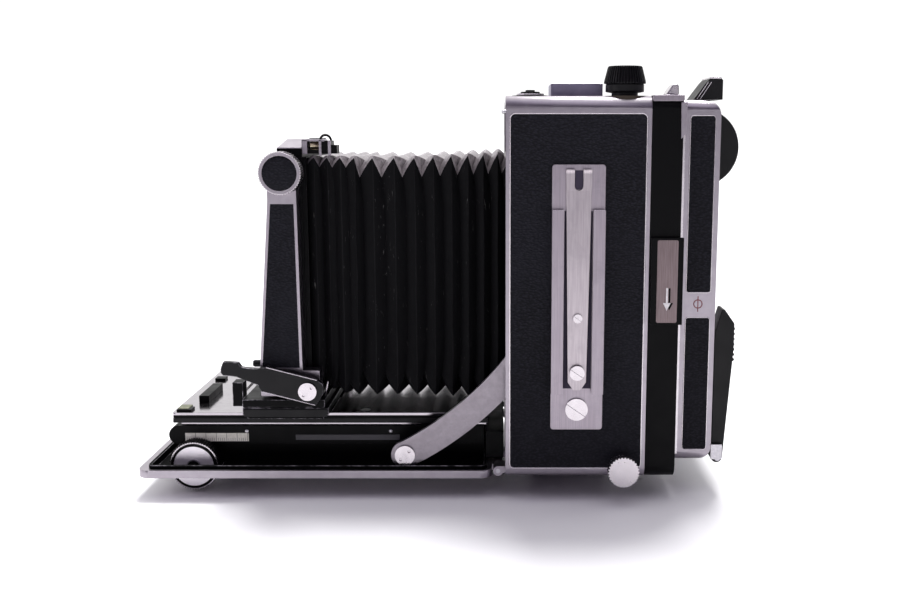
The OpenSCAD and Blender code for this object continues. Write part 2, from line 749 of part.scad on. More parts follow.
module rack_profile() {
    first = -4;
    last = 16;
    root_z = rack_pitch_z + tooth_down;
    tip_z = rack_pitch_z - tooth_up;
    x0 = shaft_x + (first - 0.1) * tooth_pitch;
    x1 = shaft_x + (last + 1.1) * tooth_pitch;
    translate([x0, root_z]) square([x1 - x0, track_z0 - root_z]);
    for (i = [first : last])
        translate([shaft_x + (i + 0.5) * tooth_pitch, root_z])
        polygon([[-tooth_root_w / 2, 0.1], [-tooth_root_w / 2, 0], [-tooth_tip_w / 2, tip_z - root_z],
            [tooth_tip_w / 2, tip_z - root_z], [tooth_root_w / 2, 0], [tooth_root_w / 2, 0.1]]);
}

module track_racks() color("silver") both_sides()
    along_y(-rack_inner - rack_t, -rack_inner) rack_profile();

// Pads at the front corners and the folded infinity stop
module track_stops() color("#2b2b2d") {
    both_sides()
        slab(track_x0 + 1.5, track_x0 + 8, -track_hw + 1.5, -track_hw + 7, track_z1, track_z1 + 1);
    slab(track_x0 + 7, track_x0 + 11.5, -28, -4, track_z1, track_z1 + 3.2);
    slab(track_x0 + 3, track_x0 + 8, 14, 19, track_z1, track_z1 + 1.2);
}

// ---- Front standard ----

module standard_carriage() color("#1a1a1c") {
    slab(carriage_x0, carriage_x1, -carriage_hw, carriage_hw, track_z1 + slide_gap, carriage_z1);
    both_sides() slab(carriage_x0 + 2, carriage_x1 - 2, -carriage_hw, -track_hw - slide_gap,
        carriage_z0, track_z1 + slide_gap);
}

module shift_block() color("#1a1a1c") difference() {
    union() {
        slab(carriage_x0, carriage_x1 - 1.5, -carriage_hw, carriage_hw, shift_z0, shift_z1);
        both_sides() {
            slab(pivot_x - ear_r, pivot_x + ear_r, -carriage_hw, -ear_inner, shift_z1, pivot_z);
            rod_along_y(pivot_x, pivot_z, ear_r, -carriage_hw, -ear_inner);
            slab(carriage_x0 - 4.5, carriage_x0, -carriage_hw + 2, -carriage_hw + 9,
                shift_z0, shift_z1 + 7);
        }
    }
    both_sides() rod_along_y(pivot_x, pivot_z, tilt_pin_r, -carriage_hw - cut, -ear_inner + cut);
}

module tilt_screws() color("silver") {
    pin_screw(pivot_x, pivot_z, screw_r, -lever_outer - 1.1, -lever_outer - 0.1);
    rod_along_y(pivot_x, pivot_z, tilt_pin_r, -lever_outer - 0.1, -arm_inner);
    mirror([0, 1, 0]) {
        pin_screw(pivot_x, pivot_z, screw_r, -carriage_hw - 1, -carriage_hw);
        rod_along_y(pivot_x, pivot_z, tilt_pin_r, -carriage_hw, -arm_inner);
    }
}

// Clamp lever with a cranked thumb end
module lock_lever() color("#1a1a1c") difference() {
    along_y(-lever_outer, -lever_inner) translate([pivot_x, pivot_z]) {
        polygon([[-36.5, 9.6], [-35.2, 12.8], [-29, 12.4], [-27.6, 10.4], [-21, 9.5], [-17.2, 10.5],
            [4, 4.9], [6.6, 3], [6.6, -1], [3.4, -6.1], [-19.3, -0.3], [-21, 2.6], [-29.8, 6.2],
            [-35.4, 6.8], [-36.4, 8]]);
    }
    rod_along_y(pivot_x, pivot_z, tilt_pin_r + run_gap, -lever_outer - cut, -lever_inner + cut);
}

module arm_outline(inset) {
    front_low = foot_x0 - 0.2 + inset;
    front_high = arm_knob_x - 6.7 + inset;
    rear = arm_knob_x + 5.4 - inset;
    polygon([[front_low, foot_z1 + inset], [rear + arm_lean, foot_z1 + inset],
        [rear, arm_top_z - inset], [front_high, arm_top_z - inset]]);
}

module foot_outline() {
    polygon([[foot_x0, foot_z0], [pivot_x, foot_z0], [pivot_x, pivot_z], [foot_x1, pivot_z],
        [foot_x1, foot_z1], [foot_x0, foot_z1]]);
    translate([pivot_x, pivot_z]) circle(4.2);
}

module u_frame() color("silver") difference() {
    union() {
        both_sides() along_y(-arm_outer, -arm_inner) {
            arm_outline(0);
            foot_outline();
            translate([arm_knob_x - 6.7, arm_top_z - cut]) square([12.1, arm_knob_z - arm_top_z]);
            translate([arm_knob_x, arm_knob_z]) circle(arm_top_r);
        }
        slab(foot_x0 + 1, foot_x0 + 15, -arm_inner, arm_inner, foot_z0, foot_z0 + 6);
    }
    both_sides() {
        along_y(-arm_outer - cut, -arm_outer + inlay_t) arm_outline(inlay_edge);
        rod_along_y(pivot_x, pivot_z, tilt_pin_r + run_gap, -arm_outer - cut, -arm_inner + cut);
        rod_along_y(arm_knob_x, arm_knob_z, tilt_pin_r + run_gap, -arm_outer - cut, -arm_inner + cut);
    }
}

module arm_leathers() color("#1c1c1e") both_sides()
    along_y(-arm_outer, -arm_outer + inlay_t) arm_outline(inlay_edge);

module arm_knob() color("silver") {
    difference() {
        translate([arm_knob_x, -arm_knob_inner, arm_knob_z])
            rotate([90, 0, 0])
            linear_extrude(arm_knob_outer - arm_knob_inner)
            knurled(arm_knob_r, 52, 0.4);
        rod_along_y(arm_knob_x, arm_knob_z, arm_knob_r - 1.7,
                    -arm_knob_outer - cut, -arm_knob_outer + 0.6);
    }
    rod_along_y(arm_knob_x, arm_knob_z, tilt_pin_r, -arm_knob_inner, -arm_inner - 0.5);
}

module arm_knob_left() arm_knob();

module arm_knob_right() mirror([0, 1, 0]) arm_knob();

module lens_frame() color("#1a1a1c") difference() {
    slab(frame_x0, frame_x1, -frame_hw, frame_hw, frame_z0, frame_z1);
    slab(frame_x0 - cut, frame_x1 + cut, -board_hw + 4, board_hw - 4, board_z0 + 4, board_z1 - 4);
    slab(frame_x0 - cut, frame_x0 + board_t, -board_hw - 0.1, board_hw + 0.1,
         board_z0 - 0.1, board_z1 + 0.1);
}

module lens_board() color("#262628") difference() {
    slab(frame_x0, frame_x0 + board_t, -board_hw, board_hw, board_z0, board_z1);
    rod_along_x(0, axis_z, shutter_r, frame_x0 - cut, frame_x0 + board_t + cut);
}

module bellows_front_frame() color("#1a1a1c") difference() {
    slab(frame_x1, bellows_x0, -frame_hw, frame_hw, bellows_z0 + 0.5, frame_z1);
    slab(frame_x1 - cut, bellows_x0 + cut, -board_hw + 4, board_hw - 4, board_z0 + 4, board_z1 - 4);
}

// Cap over the lens frame with a cradle for the roller and a lifting ring
module bridge_cap() intersection() {
    along_y(-bridge_hw, bridge_hw)
        polygon([[frame_x0 + 0.5, frame_z1], [frame_x1, frame_z1], [frame_x1, frame_z1 + 7.2],
            [frame_x0 + 2.5, frame_z1 + 7.2], [frame_x0 + 0.5, frame_z1 + 3.6]]);
    along_x(frame_x0, frame_x1)
        polygon([[-bridge_hw, frame_z1], [bridge_hw, frame_z1], [bridge_hw, frame_z1 + 3.6],
            [bridge_hw - bridge_slope_w, frame_z1 + 7.2], [-bridge_hw + bridge_slope_w, frame_z1 + 7.2],
            [-bridge_hw, frame_z1 + 3.6]]);
}

module top_bridge() color("#1a1a1c") {
    bridge_cap();
    slab(frame_x1, bridge_x1, -bridge_hw, -bridge_hw + 3, bridge_z0, frame_z1 + 3);
    slab(frame_x1, frame_x1 + 2.6, -bridge_hw, -bridge_hw + 11, bridge_z0, frame_z1 + 7);
    slab(bridge_x1 - 7.6, bridge_x1 - 2.8, -bridge_hw, -bridge_hw + 11, bridge_z0, frame_z1 + 6.8);
    slab(bridge_x1 - 2.8, bridge_x1, -bridge_hw, -bridge_hw + 7, bridge_z0, frame_z1 + 5);
    translate([bridge_x1 - 5.2, -bridge_hw + 3, frame_z1 + 6.8])
        rotate([90, 0, 0])
        rotate_extrude(angle = 180)
        translate([2.3, 0]) circle(0.5);
}

module bridge_roller() color("#b79a5a")
    rod_along_x(-bridge_hw + 5.5, frame_z1 + 4.6, 2.2, frame_x1 + 2.8, bridge_x1 - 7.8);

module board_latch() color("silver") {
    slab(frame_x0 - 1.7, frame_x0 - 0.2, -11, 11, board_z1 - 3, board_z1 + 6);
    slab(frame_x0 - 4.2, frame_x0 - 1.7, -6, 6, board_z1 + 3.4, board_z1 + 5.2);
}

// ---- Back ----

module back_frame() color("#151517") difference() {
    union() {
        along_x(back_x0, back_x1) rounded(-case_hw, case_hw, case_z0, case_z1, case_edge_r);
        slab(bellows_x1, back_x0, -ring_hw, ring_hw, bellows_z0 - 1, bellows_z1 + 1);
    }
    slab(bellows_x1 - cut, back_x1 + cut, -tunnel_hw, tunnel_hw, tunnel_z0, tunnel_z1);
    slab(back_x0 + 3, back_x1 + cut, -case_hw + 6, case_hw - 6, case_z0 + 6, bellows_z0 - 4);
    slab(back_x0 + 3, back_x1 + cut, -case_hw + 6, case_hw - 6, bellows_z1 + 4, case_z1 - 6);
}

module extension_rods() color("silver") both_sides()
    for (z = [rod_z_low, rod_z_high])
        rod_along_x(-rod_y_pos, z, rod_r, back_x0 - rod_l, back_x0);

// Thumb slide on the side of the back frame, with an arrow on its plate
module release_slider() color("#1c1a1b") {
    slab(back_x0 + 0.4, back_x1 + 1, -case_hw - 2.2, -case_hw - 0.2, slider_z0, slider_z1);
    arrow_x = back_x0 + 8;
    arrow_z = slider_z0 + 8;
    along_y(-case_hw - 2.5, -case_hw - 2.2) {
        translate([arrow_x - 0.35, arrow_z]) square([0.7, 7]);
        polygon([[arrow_x, arrow_z - 2], [arrow_x + 1.5, arrow_z + 1], [arrow_x - 1.5, arrow_z + 1]]);
    }
}

// Sliding bar with a hook at each end that draws the film back up
module hook_bar() color("silver") {
    slab(back_x1 + 0.3, back_x1 + 2.1, hook_y0, hook_y1, case_z0 + 8, case_z1 - 4);
    for (z = [case_z0 + 9, case_z1 - 18])
        along_y(hook_y1, hook_y1 + 1.2)
            polygon([[back_x1 + 0.3, z], [back_x1 + 2.1, z + 4], [back_x1 + 2.1, z + 13],
                [back_x1 + 0.3, z + 13]]);
}

// Outline of the film back seen from the side, round at its rear corners
module film_side() {
    r = film_corner_r;
    translate([film_x0, film_z0]) square([film_x1 - film_x0 - r, film_z1 - film_z0]);
    translate([film_x0, film_z0 + r]) square([film_x1 - film_x0, film_z1 - film_z0 - 2 * r]);
    for (z = [film_z0 + r, film_z1 - r])
        translate([film_x1 - r, z]) circle(r);
}

module chambers(r, hl)
    for (z = [spool_low_z, spool_high_z])
        rod_along_y(spool_x, z, r, -hl, hl);

module insert_outline(z0, z1)
    rounded(film_x0 + 2.6, film_x1 - 2.2, z0, z1, 1.2);

module back_inserts() {
    insert_outline(film_z0 + 5, insert_low_z1);
    insert_outline(insert_high_z0, film_z1 - 6.3);
}

module film_back() color("silver") difference() {
    intersection() {
        along_x(film_x0, film_x1) rounded(-film_hw, film_hw, film_z0, film_z1, 4);
        along_y(-film_hw, film_hw) film_side();
    }
    slab(film_x0 + gate_t, film_x1 - film_wall, -chamber_hl, chamber_hl, spool_low_z, spool_high_z);
    chambers(chamber_r, chamber_hl);
    both_sides() {
        rod_along_y(spool_x, spool_low_z, spindle_r + run_gap, -chamber_hl - 3, -chamber_hl + cut);
        rod_along_y(spool_x, spool_high_z, spindle_r + run_gap, -chamber_hl - 3, -chamber_hl + cut);
        along_y(-film_hw - cut, -film_hw + 0.6) back_inserts();
        slab(film_x0 + gate_t, film_x1 - film_wall, -film_hw + 2.5, -chamber_hl - 4.5,
            film_z0 + 6, film_z1 - 8);
    }
    slab(film_x0 - cut, film_x0 + gate_t + cut, -gate_w / 2, gate_w / 2,
        axis_z - gate_h / 2, axis_z + gate_h / 2);
    slab(film_x0 + 0.4, film_x0 + 1.4, -slide_hw - 0.5, film_hw + cut,
        axis_z - gate_h / 2 - 2.5, axis_z + gate_h / 2 + 2.5);
}

module back_leathers() color("#1c1c1e") both_sides()
    along_y(-film_hw, -film_hw + 0.6) back_inserts();

// Bulging covers over the two spool chambers
module spool_covers() color("#111113") difference() {
    union() {
        intersection() {
            rod_along_y(cover_high_x, spool_high_z, cover_r, -chamber_hl - 1.5, chamber_hl + 1.5);
            slab(film_x1, film_x1 + 20, -case_hw, case_hw, 0, case_z1 + 20);
        }
        intersection() {
            rod_along_y(cover_low_x, spool_low_z, cover_r, -chamber_hl - 1.5, chamber_hl + 1.5);
            slab(film_x1, film_x1 + 20, -case_hw, case_hw, 0, case_z1 + 20);
        }
    }
    chambers(chamber_r, chamber_hl);
}

module counter_housing() color("#151517")
    along_y(-film_hw + 6, -film_hw + 24)
        polygon([[film_x0 + 4.4, film_z1], [film_x1 - film_corner_r, film_z1],
            [film_x1 - film_corner_r, film_z1 + 0.2], [film_x1 + 1.5, film_z1 + 0.2],
            [film_x1 + 1.5, film_z1 + 8], [film_x1 + 0.6, film_z1 + 9], [film_x1 - 3.6, film_z1 + 9],
            [film_x1 - 5.4, film_z1 + 7]]);

// Metal slide that shuts the gate, pulled out on the far side by its bow
module dark_slide() color("#3a3a3e") {
    z0 = axis_z - gate_h / 2 - 2;
    z1 = axis_z + gate_h / 2 + 2;
    slab(film_x0 + 0.6, film_x0 + 0.6 + slide_t, -slide_hw, film_hw + 0.6, z0, z1);
    slab(film_x0 + 0.2, film_x0 + 1.6, film_hw + 0.6, film_hw + slide_pull, z0, z1);
}

// Spool with two flanges and a stub shaft at each end
module film_spool(z, wound_r) {
    rod_along_y(spool_x, z, wound_r, -spool_hl + 1, spool_hl - 1);
    both_sides() {
        rod_along_y(spool_x, z, spool_r, -spool_hl, -spool_hl + 1);
        rod_along_y(spool_x, z, spindle_r, -chamber_hl - 2.5, -spool_hl);
    }
}

module take_up_spool() color("#2a2422") film_spool(spool_high_z, spool_r * 0.62);

module supply_spool() color("#2a2422") film_spool(spool_low_z, spool_r * 0.8);

// Long lever on the back that winds the film, hinged at its lower end
module advance_lever() color("#131315") difference() {
    along_y(lever_y0, lever_y1) {
        translate([lever_pin_x, lever_pin_z]) circle(2.4);
        polygon([[lever_pin_x - 2.4, lever_pin_z], [lever_pin_x + 2.4, lever_pin_z],
            [lever_pin_x + 5.8, lever_pin_z + 47], [lever_pin_x + 5.8, lever_pin_z + 58],
            [lever_pin_x + 1.5, lever_pin_z + 64], [lever_pin_x + 0.4, lever_pin_z + 64],
            [lever_pin_x - 2.4, lever_pin_z + 54]]);
    }
    rod_along_y(lever_pin_x, lever_pin_z, lever_pin_r + run_gap, lever_y0 - cut, lever_y1 + cut);
}

// Hinge pin of the winding lever in its two ears
module lever_bracket() color("silver") {
    for (y = [lever_y0 - 1.8, lever_y1 + slide_gap])
        slab(film_x1, lever_pin_x + 1.8, y, y + 1.5, lever_pin_z - 0.4, lever_pin_z + 6);
    rod_along_y(lever_pin_x, lever_pin_z, lever_pin_r, lever_y0 - 1.8, lever_y1 + slide_gap + 1.5);
}

case_shell();
side_leathers();
tripod_block();
tripod_bush();
hinge_pins();
side_shoe();
side_shoe_spring();
side_shoe_screws();
finder_shoe();
finder_knob();
bed_release_button();
rod_guides();
strut_guides();
body_track();
bellows();
back_lock_knob_left();
back_lock_knob_right();
bed();
bed_liner();
bed_rails();
distance_scales();
shaft_bearings();
strut_lugs();
strut_screws();
strut_left();
strut_right();
focus_shaft();
focus_knobs();
focus_knob_discs();
focus_lock_lever();
track_plate();
track_racks();
track_stops();
standard_carriage();
shift_block();
tilt_screws();
lock_lever();
u_frame();
arm_leathers();
arm_knob_left();
arm_knob_right();
lens_frame();
lens_board();
bellows_front_frame();
top_bridge();
bridge_roller();
board_latch();
back_frame();
extension_rods();
release_slider();
hook_bar();
film_back();
back_leathers();
spool_covers();
counter_housing();
dark_slide();
take_up_spool();
supply_spool();
advance_lever();
lever_bracket();
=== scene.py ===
"""Looks of the drop-bed folding camera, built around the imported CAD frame."""
import json
import math
import random

import bmesh
import bpy
from mathutils import Matrix, Vector


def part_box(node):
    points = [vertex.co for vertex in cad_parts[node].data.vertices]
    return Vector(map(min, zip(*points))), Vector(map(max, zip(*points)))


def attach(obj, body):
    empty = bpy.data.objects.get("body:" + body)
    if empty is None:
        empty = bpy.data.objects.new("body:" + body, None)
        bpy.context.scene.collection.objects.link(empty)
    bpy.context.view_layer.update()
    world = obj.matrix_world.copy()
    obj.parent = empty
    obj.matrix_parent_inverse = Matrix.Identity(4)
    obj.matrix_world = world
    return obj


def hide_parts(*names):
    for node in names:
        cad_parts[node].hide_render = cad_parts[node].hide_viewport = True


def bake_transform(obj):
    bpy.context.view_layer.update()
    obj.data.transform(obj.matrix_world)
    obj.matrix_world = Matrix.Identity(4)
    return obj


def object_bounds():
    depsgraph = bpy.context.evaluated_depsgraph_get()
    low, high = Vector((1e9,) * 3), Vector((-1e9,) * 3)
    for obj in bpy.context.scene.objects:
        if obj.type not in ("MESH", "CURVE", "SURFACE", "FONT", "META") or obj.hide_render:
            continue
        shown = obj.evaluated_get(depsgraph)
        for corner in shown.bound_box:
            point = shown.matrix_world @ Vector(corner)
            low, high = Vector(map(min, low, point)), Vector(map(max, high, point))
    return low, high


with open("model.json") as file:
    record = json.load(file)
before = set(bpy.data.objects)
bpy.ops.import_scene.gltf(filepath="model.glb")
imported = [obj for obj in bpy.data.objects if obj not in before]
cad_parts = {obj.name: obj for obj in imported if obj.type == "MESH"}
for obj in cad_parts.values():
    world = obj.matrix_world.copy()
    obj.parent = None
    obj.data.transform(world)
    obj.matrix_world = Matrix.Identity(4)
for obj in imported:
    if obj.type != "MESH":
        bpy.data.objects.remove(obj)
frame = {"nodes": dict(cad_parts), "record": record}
cad_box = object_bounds()
NODES = frame["nodes"]
MM = 0.001


# ---------------------------------------------------------------- shader helpers

class Shader:
    """A material whose nodes are added by short calls, with textures laid out in the row's own metres."""

    def __init__(self, name, color, metallic=0.0, roughness=0.5, **sockets):
        self.material = bpy.data.materials.new(name)
        self.material.use_nodes = True
        self.nodes = self.material.node_tree.nodes
        self.links = self.material.node_tree.links
        self.surface = self.nodes["Principled BSDF"]
        self.place = self.nodes.new("ShaderNodeTexCoord").outputs["Object"]
        self.set("Base Color", (*color, 1))
        self.set("Metallic", metallic)
        self.set("Roughness", roughness)
        for socket, value in sockets.items():
            self.set(socket.replace("_", " "), value)
        self.normal = None

    def set(self, socket, value):
        self.surface.inputs[socket].default_value = value

    def join(self, source, target):
        self.links.new(source, target)

    def stretched(self, scale, turn=(0, 0, 0)):
        """Coordinates scaled along each axis, for grain that runs one way."""
        mapping = self.nodes.new("ShaderNodeMapping")
        mapping.inputs["Scale"].default_value = scale
        mapping.inputs["Rotation"].default_value = turn
        self.join(self.place, mapping.inputs["Vector"])
        return mapping.outputs["Vector"]

    def noise(self, scale, detail=4.0, rough=0.55, at=None, distortion=0.0):
        node = self.nodes.new("ShaderNodeTexNoise")
        node.inputs["Scale"].default_value = scale
        node.inputs["Detail"].default_value = detail
        node.inputs["Roughness"].default_value = rough
        node.inputs["Distortion"].default_value = distortion
        self.join(at or self.place, node.inputs["Vector"])
        return node.outputs["Fac"]

    def cells(self, scale, feature="F1", at=None, smooth=0.4):
        node = self.nodes.new("ShaderNodeTexVoronoi")
        node.feature = feature
        node.inputs["Scale"].default_value = scale
        if feature == "SMOOTH_F1":
            node.inputs["Smoothness"].default_value = smooth
        self.join(at or self.place, node.inputs["Vector"])
        return node.outputs["Distance"]

    def math(self, operation, a, b=None, clamp=False):
        node = self.nodes.new("ShaderNodeMath")
        node.operation = operation
        node.use_clamp = clamp
        for socket, value in zip(node.inputs, (a, b)):
            if value is None:
                continue
            if isinstance(value, (int, float)):
                socket.default_value = value
            else:
                self.join(value, socket)
        return node.outputs[0]

    def ramp(self, value, *stops):
        """Colours or greys at positions from 0 to 1."""
        node = self.nodes.new("ShaderNodeValToRGB")
        while len(node.color_ramp.elements) < len(stops):
            node.color_ramp.elements.new(0.5)
        for element, (at, color) in zip(node.color_ramp.elements, stops):
            element.position = at
            element.color = (*color, 1) if isinstance(color, tuple) else (color, color, color, 1)
        self.join(value, node.inputs["Fac"])
        return node.outputs["Color"]

    def mix(self, share, a, b):
        node = self.nodes.new("ShaderNodeMix")
        node.data_type = "RGBA"
        for socket, value in ((node.inputs[0], share), (node.inputs[6], a), (node.inputs[7], b)):
            if isinstance(value, tuple):
                socket.default_value = (*value, 1)
            elif isinstance(value, (int, float)):
                socket.default_value = value
            else:
                self.join(value, socket)
        return node.outputs[2]

    def axis(self, name):
        """One coordinate of the place, in metres."""
        node = self.nodes.new("ShaderNodeSeparateXYZ")
        self.join(self.place, node.inputs[0])
        return node.outputs[name]

    def bump(self, height, strength, depth):
        node = self.nodes.new("ShaderNodeBump")
        node.inputs["Strength"].default_value = strength
        node.inputs["Distance"].default_value = depth
        self.join(height, node.inputs["Height"])
        if self.normal:
            self.join(self.normal, node.inputs["Normal"])
        self.normal = node.outputs["Normal"]
        self.join(self.normal, self.surface.inputs["Normal"])

    def color(self, value):
        self.join(value, self.surface.inputs["Base Color"])

    def roughness(self, value):
        self.join(value, self.surface.inputs["Roughness"])


# ---------------------------------------------------------------- materials

def metal(name, dark, light, rough, grain=None, depth=0.00004):
    """Bare metal with a mottled tone and slightly uneven gloss; grain gives it a brushed direction."""
    s = Shader(name, light, metallic=1.0)
    tone = s.noise(1, 5, at=s.stretched(grain)) if grain else s.noise(320, 5)
    s.color(s.ramp(tone, (0.3, dark), (0.7, light)))
    s.roughness(s.ramp(s.noise(230, 6), (0.3, rough - 0.02), (0.75, rough + 0.05)))
    s.bump(tone if grain else s.noise(2600, 2), 0.12 if grain else 0.05, depth)
    return s


def stained(s, scale, start, color, amount):
    """Adds duller patches to a metal's colour."""
    tone = s.surface.inputs["Base Color"].links[0].from_socket
    patches = s.ramp(s.noise(scale, 8, 0.65, distortion=0.6), (start, 0.0), (start + 0.2, amount))
    s.color(s.mix(patches, tone, color))
    return s


def black(name, tone, light, rough, shine, grain_scale=900, bump=0.12, depth=0.00006):
    """Black finish with a little grey dust and uneven gloss."""
    s = Shader(name, tone, Specular_IOR_Level=shine)
    dust = s.noise(grain_scale, 8, 0.7)
    s.color(s.mix(s.ramp(dust, (0.64, 0.0), (0.8, 0.6)), tone, light))
    s.roughness(s.ramp(s.noise(140, 6), (0.3, rough - 0.06), (0.75, rough + 0.12)))
    s.bump(s.noise(1500, 3), bump, depth)
    return s


def worn_edge_metal():
    """Bare metal along the edges of black enamel, patchy where the paint still holds."""
    s = Shader("worn_edge_metal", (0.3, 0.3, 0.32), metallic=0.8)
    patches = s.noise(330, 6, 0.7)
    s.color(s.ramp(patches, (0.46, (0.016, 0.016, 0.018)), (0.64, (0.34, 0.32, 0.35))))
    s.roughness(s.ramp(patches, (0.4, 0.42), (0.7, 0.28)))
    return s


def black_leather():
    s = Shader("black_leather", (0.008, 0.008, 0.011), Specular_IOR_Level=0.11)
    pebble = s.cells(1, "SMOOTH_F1", at=s.stretched((760, 760, 1350)), smooth=0.35)
    crease = s.noise(1, 4, 0.6, at=s.stretched((380, 380, 1150)), distortion=0.8)
    tone = s.ramp(pebble, (0.12, (0.0125, 0.0125, 0.018)), (0.6, (0.0045, 0.0045, 0.0065)))
    s.color(s.mix(s.ramp(s.noise(38, 4), (0.35, 0.0), (0.8, 0.6)), tone, (0.011, 0.011, 0.016)))
    s.roughness(s.ramp(pebble, (0.1, 0.4), (0.6, 0.62)))
    s.bump(s.math("MULTIPLY", pebble, -1.0), 0.75, 0.0003)
    s.bump(crease, 0.5, 0.00025)
    return s


def bellows_cloth():
    """Black leathercloth with short light scuffs."""
    s = Shader("bellows_cloth", (0.004, 0.004, 0.0045), Specular_IOR_Level=0.05)
    scuff = s.noise(1, 3, 0.6, at=s.stretched((1500, 1500, 230), (0.0, 1.15, 0.2)), distortion=0.8)
    rare = s.noise(95, 2)
    mask = s.math("MULTIPLY", s.ramp(scuff, (0.66, 0.0), (0.72, 1.0)), s.ramp(rare, (0.5, 0.0), (0.6, 0.6)))
    s.color(s.mix(mask, (0.0042, 0.0042, 0.0048), (0.13, 0.13, 0.125)))
    s.roughness(s.ramp(s.noise(260, 5), (0.3, 0.5), (0.8, 0.72)))
    s.bump(s.noise(1900, 3), 0.3, 0.0001)
    s.bump(s.noise(70, 5), 0.35, 0.0006)
    return s


def dust_and_sheen(name, dark, light, rough=0.42):
    """Scuffed surface with dust: pleat tops and creases, the green pads and the paint in marks; on the
    pleat tops and edges the light tone is partly painted sheen and painted highlight.
    """
    s = Shader(name, light, Specular_IOR_Level=0.7)
    rub_and_sheen = s.noise(520, 8, 0.72, distortion=0.5)
    s.color(s.ramp(rub_and_sheen, (0.34, dark), (0.66, light)))
    s.roughness(s.ramp(s.noise(330, 5), (0.3, rough - 0.08), (0.8, rough + 0.14)))
    s.bump(s.noise(240, 7, 0.65), 0.7, 0.0005)
    return s


TICK_TOP = 0.0215
TICK_PITCH = 0.0009
DARK_STRIP_START = -0.12


def scale_strip():
    """Pale strip with short dark ticks and a long one at every fifth, and a dark strip behind it."""
    s = Shader("scale_strip", (0.7, 0.7, 0.66))
    x = s.axis("X")

    def ticks(pitch, width):
        share = s.math("FRACT", s.math("MULTIPLY", s.math("ADD", x, 1.0), 1 / pitch))
        return s.math("LESS_THAN", share, width / pitch)

    low = s.math("LESS_THAN", s.axis("Z"), TICK_TOP)
    short = s.math("MULTIPLY", ticks(TICK_PITCH, 0.00013), low)
    marks = s.math("MAXIMUM", short, ticks(5 * TICK_PITCH, 0.00018))
    dirt = s.noise(500, 7, 0.7)
    paper = s.ramp(dirt, (0.3, (0.62, 0.6, 0.52)), (0.7, (0.8, 0.78, 0.7)))
    second = s.math("GREATER_THAN", x, DARK_STRIP_START)
    s.color(s.mix(second, s.mix(marks, paper, (0.05, 0.05, 0.05)), (0.045, 0.043, 0.05)))
    s.roughness(s.ramp(dirt, (0.3, 0.4), (0.8, 0.6)))
    s.bump(dirt, 0.1, 0.00003)
    return s


def floor_white():
    s = Shader("floor_white", (0.93, 0.925, 0.935), Specular_IOR_Level=0.3)
    s.roughness(s.ramp(s.noise(6, 2), (0.3, 0.32), (0.7, 0.34)))
    return s


SATIN = metal("satin_aluminium", (0.33, 0.30, 0.335), (0.37, 0.34, 0.375), 0.31)
BRUSHED = stained(
    metal("brushed_aluminium", (0.30, 0.265, 0.30), (0.37, 0.33, 0.37), 0.34, (2600, 2600, 60)),
    110, 0.5, (0.25, 0.225, 0.26), 0.5)
BRIGHT = metal("bright_metal", (0.58, 0.545, 0.57), (0.66, 0.62, 0.645), 0.24)
STEEL = metal("steel", (0.44, 0.43, 0.46), (0.58, 0.56, 0.59), 0.3, (1500, 300, 1500))
BRASS = metal("brass", (0.42, 0.34, 0.22), (0.72, 0.64, 0.46), 0.28)
PLATE = metal("label_plate", (0.15, 0.115, 0.12), (0.24, 0.19, 0.195), 0.4, (2600, 2600, 90))
FINDER = metal("finder_paint", (0.23, 0.21, 0.29), (0.30, 0.275, 0.37), 0.42)
DISC = metal("knob_disc", (0.86, 0.82, 0.86), (0.93, 0.89, 0.93), 0.36)
DISC.set("Metallic", 0.55)
# Dark violet for the sheets of painted shade in the side shoe's notch and channel.
SHADE = black("recess_shade", (0.035, 0.028, 0.048), (0.06, 0.05, 0.08), 0.6, 0.2)
# Brownish dark for the painted shade of the hollow round the finder knob.
DISH_SHADE = black("knob_dish_shade", (0.03, 0.022, 0.014), (0.07, 0.055, 0.035), 0.5, 0.3)
TRACK = stained(metal("track_plate", (0.42, 0.39, 0.42), (0.46, 0.43, 0.46), 0.13),
                70, 0.5, (0.38, 0.36, 0.38), 0.3)
GREY = stained(metal("grey_enamel", (0.27, 0.245, 0.27), (0.33, 0.30, 0.33), 0.4),
               520, 0.5, (0.235, 0.215, 0.24), 0.5)
WORN = worn_edge_metal()
ENAMEL = black("black_enamel", (0.002, 0.002, 0.0024), (0.014, 0.014, 0.016), 0.38, 0.08)
SHEEN = black("black_sheen", (0.0048, 0.0046, 0.0055), (0.024, 0.024, 0.027), 0.34, 0.2)
CRACKLE = black("crackle_black", (0.0013, 0.0013, 0.0014), (0.004, 0.004, 0.004), 0.6, 0.03,
                1400, 0.3, 0.0001)
PLASTIC = black("black_plastic", (0.0045, 0.0045, 0.005), (0.02, 0.02, 0.02), 0.42, 0.22, 1100)
LEATHER = black_leather()
CLOTH = bellows_cloth()
CREASE = dust_and_sheen("bellows_crease", (0.004, 0.004, 0.0045), (0.008, 0.008, 0.009), 0.6)
CREASE.set("Specular IOR Level", 0.12)
# Pleat tops: dust, with a painted sheen of the light from above that makes them light grey-pink.
PLEAT_TOP = dust_and_sheen("bellows_pleat_top", (0.06, 0.052, 0.056), (0.36, 0.32, 0.34))
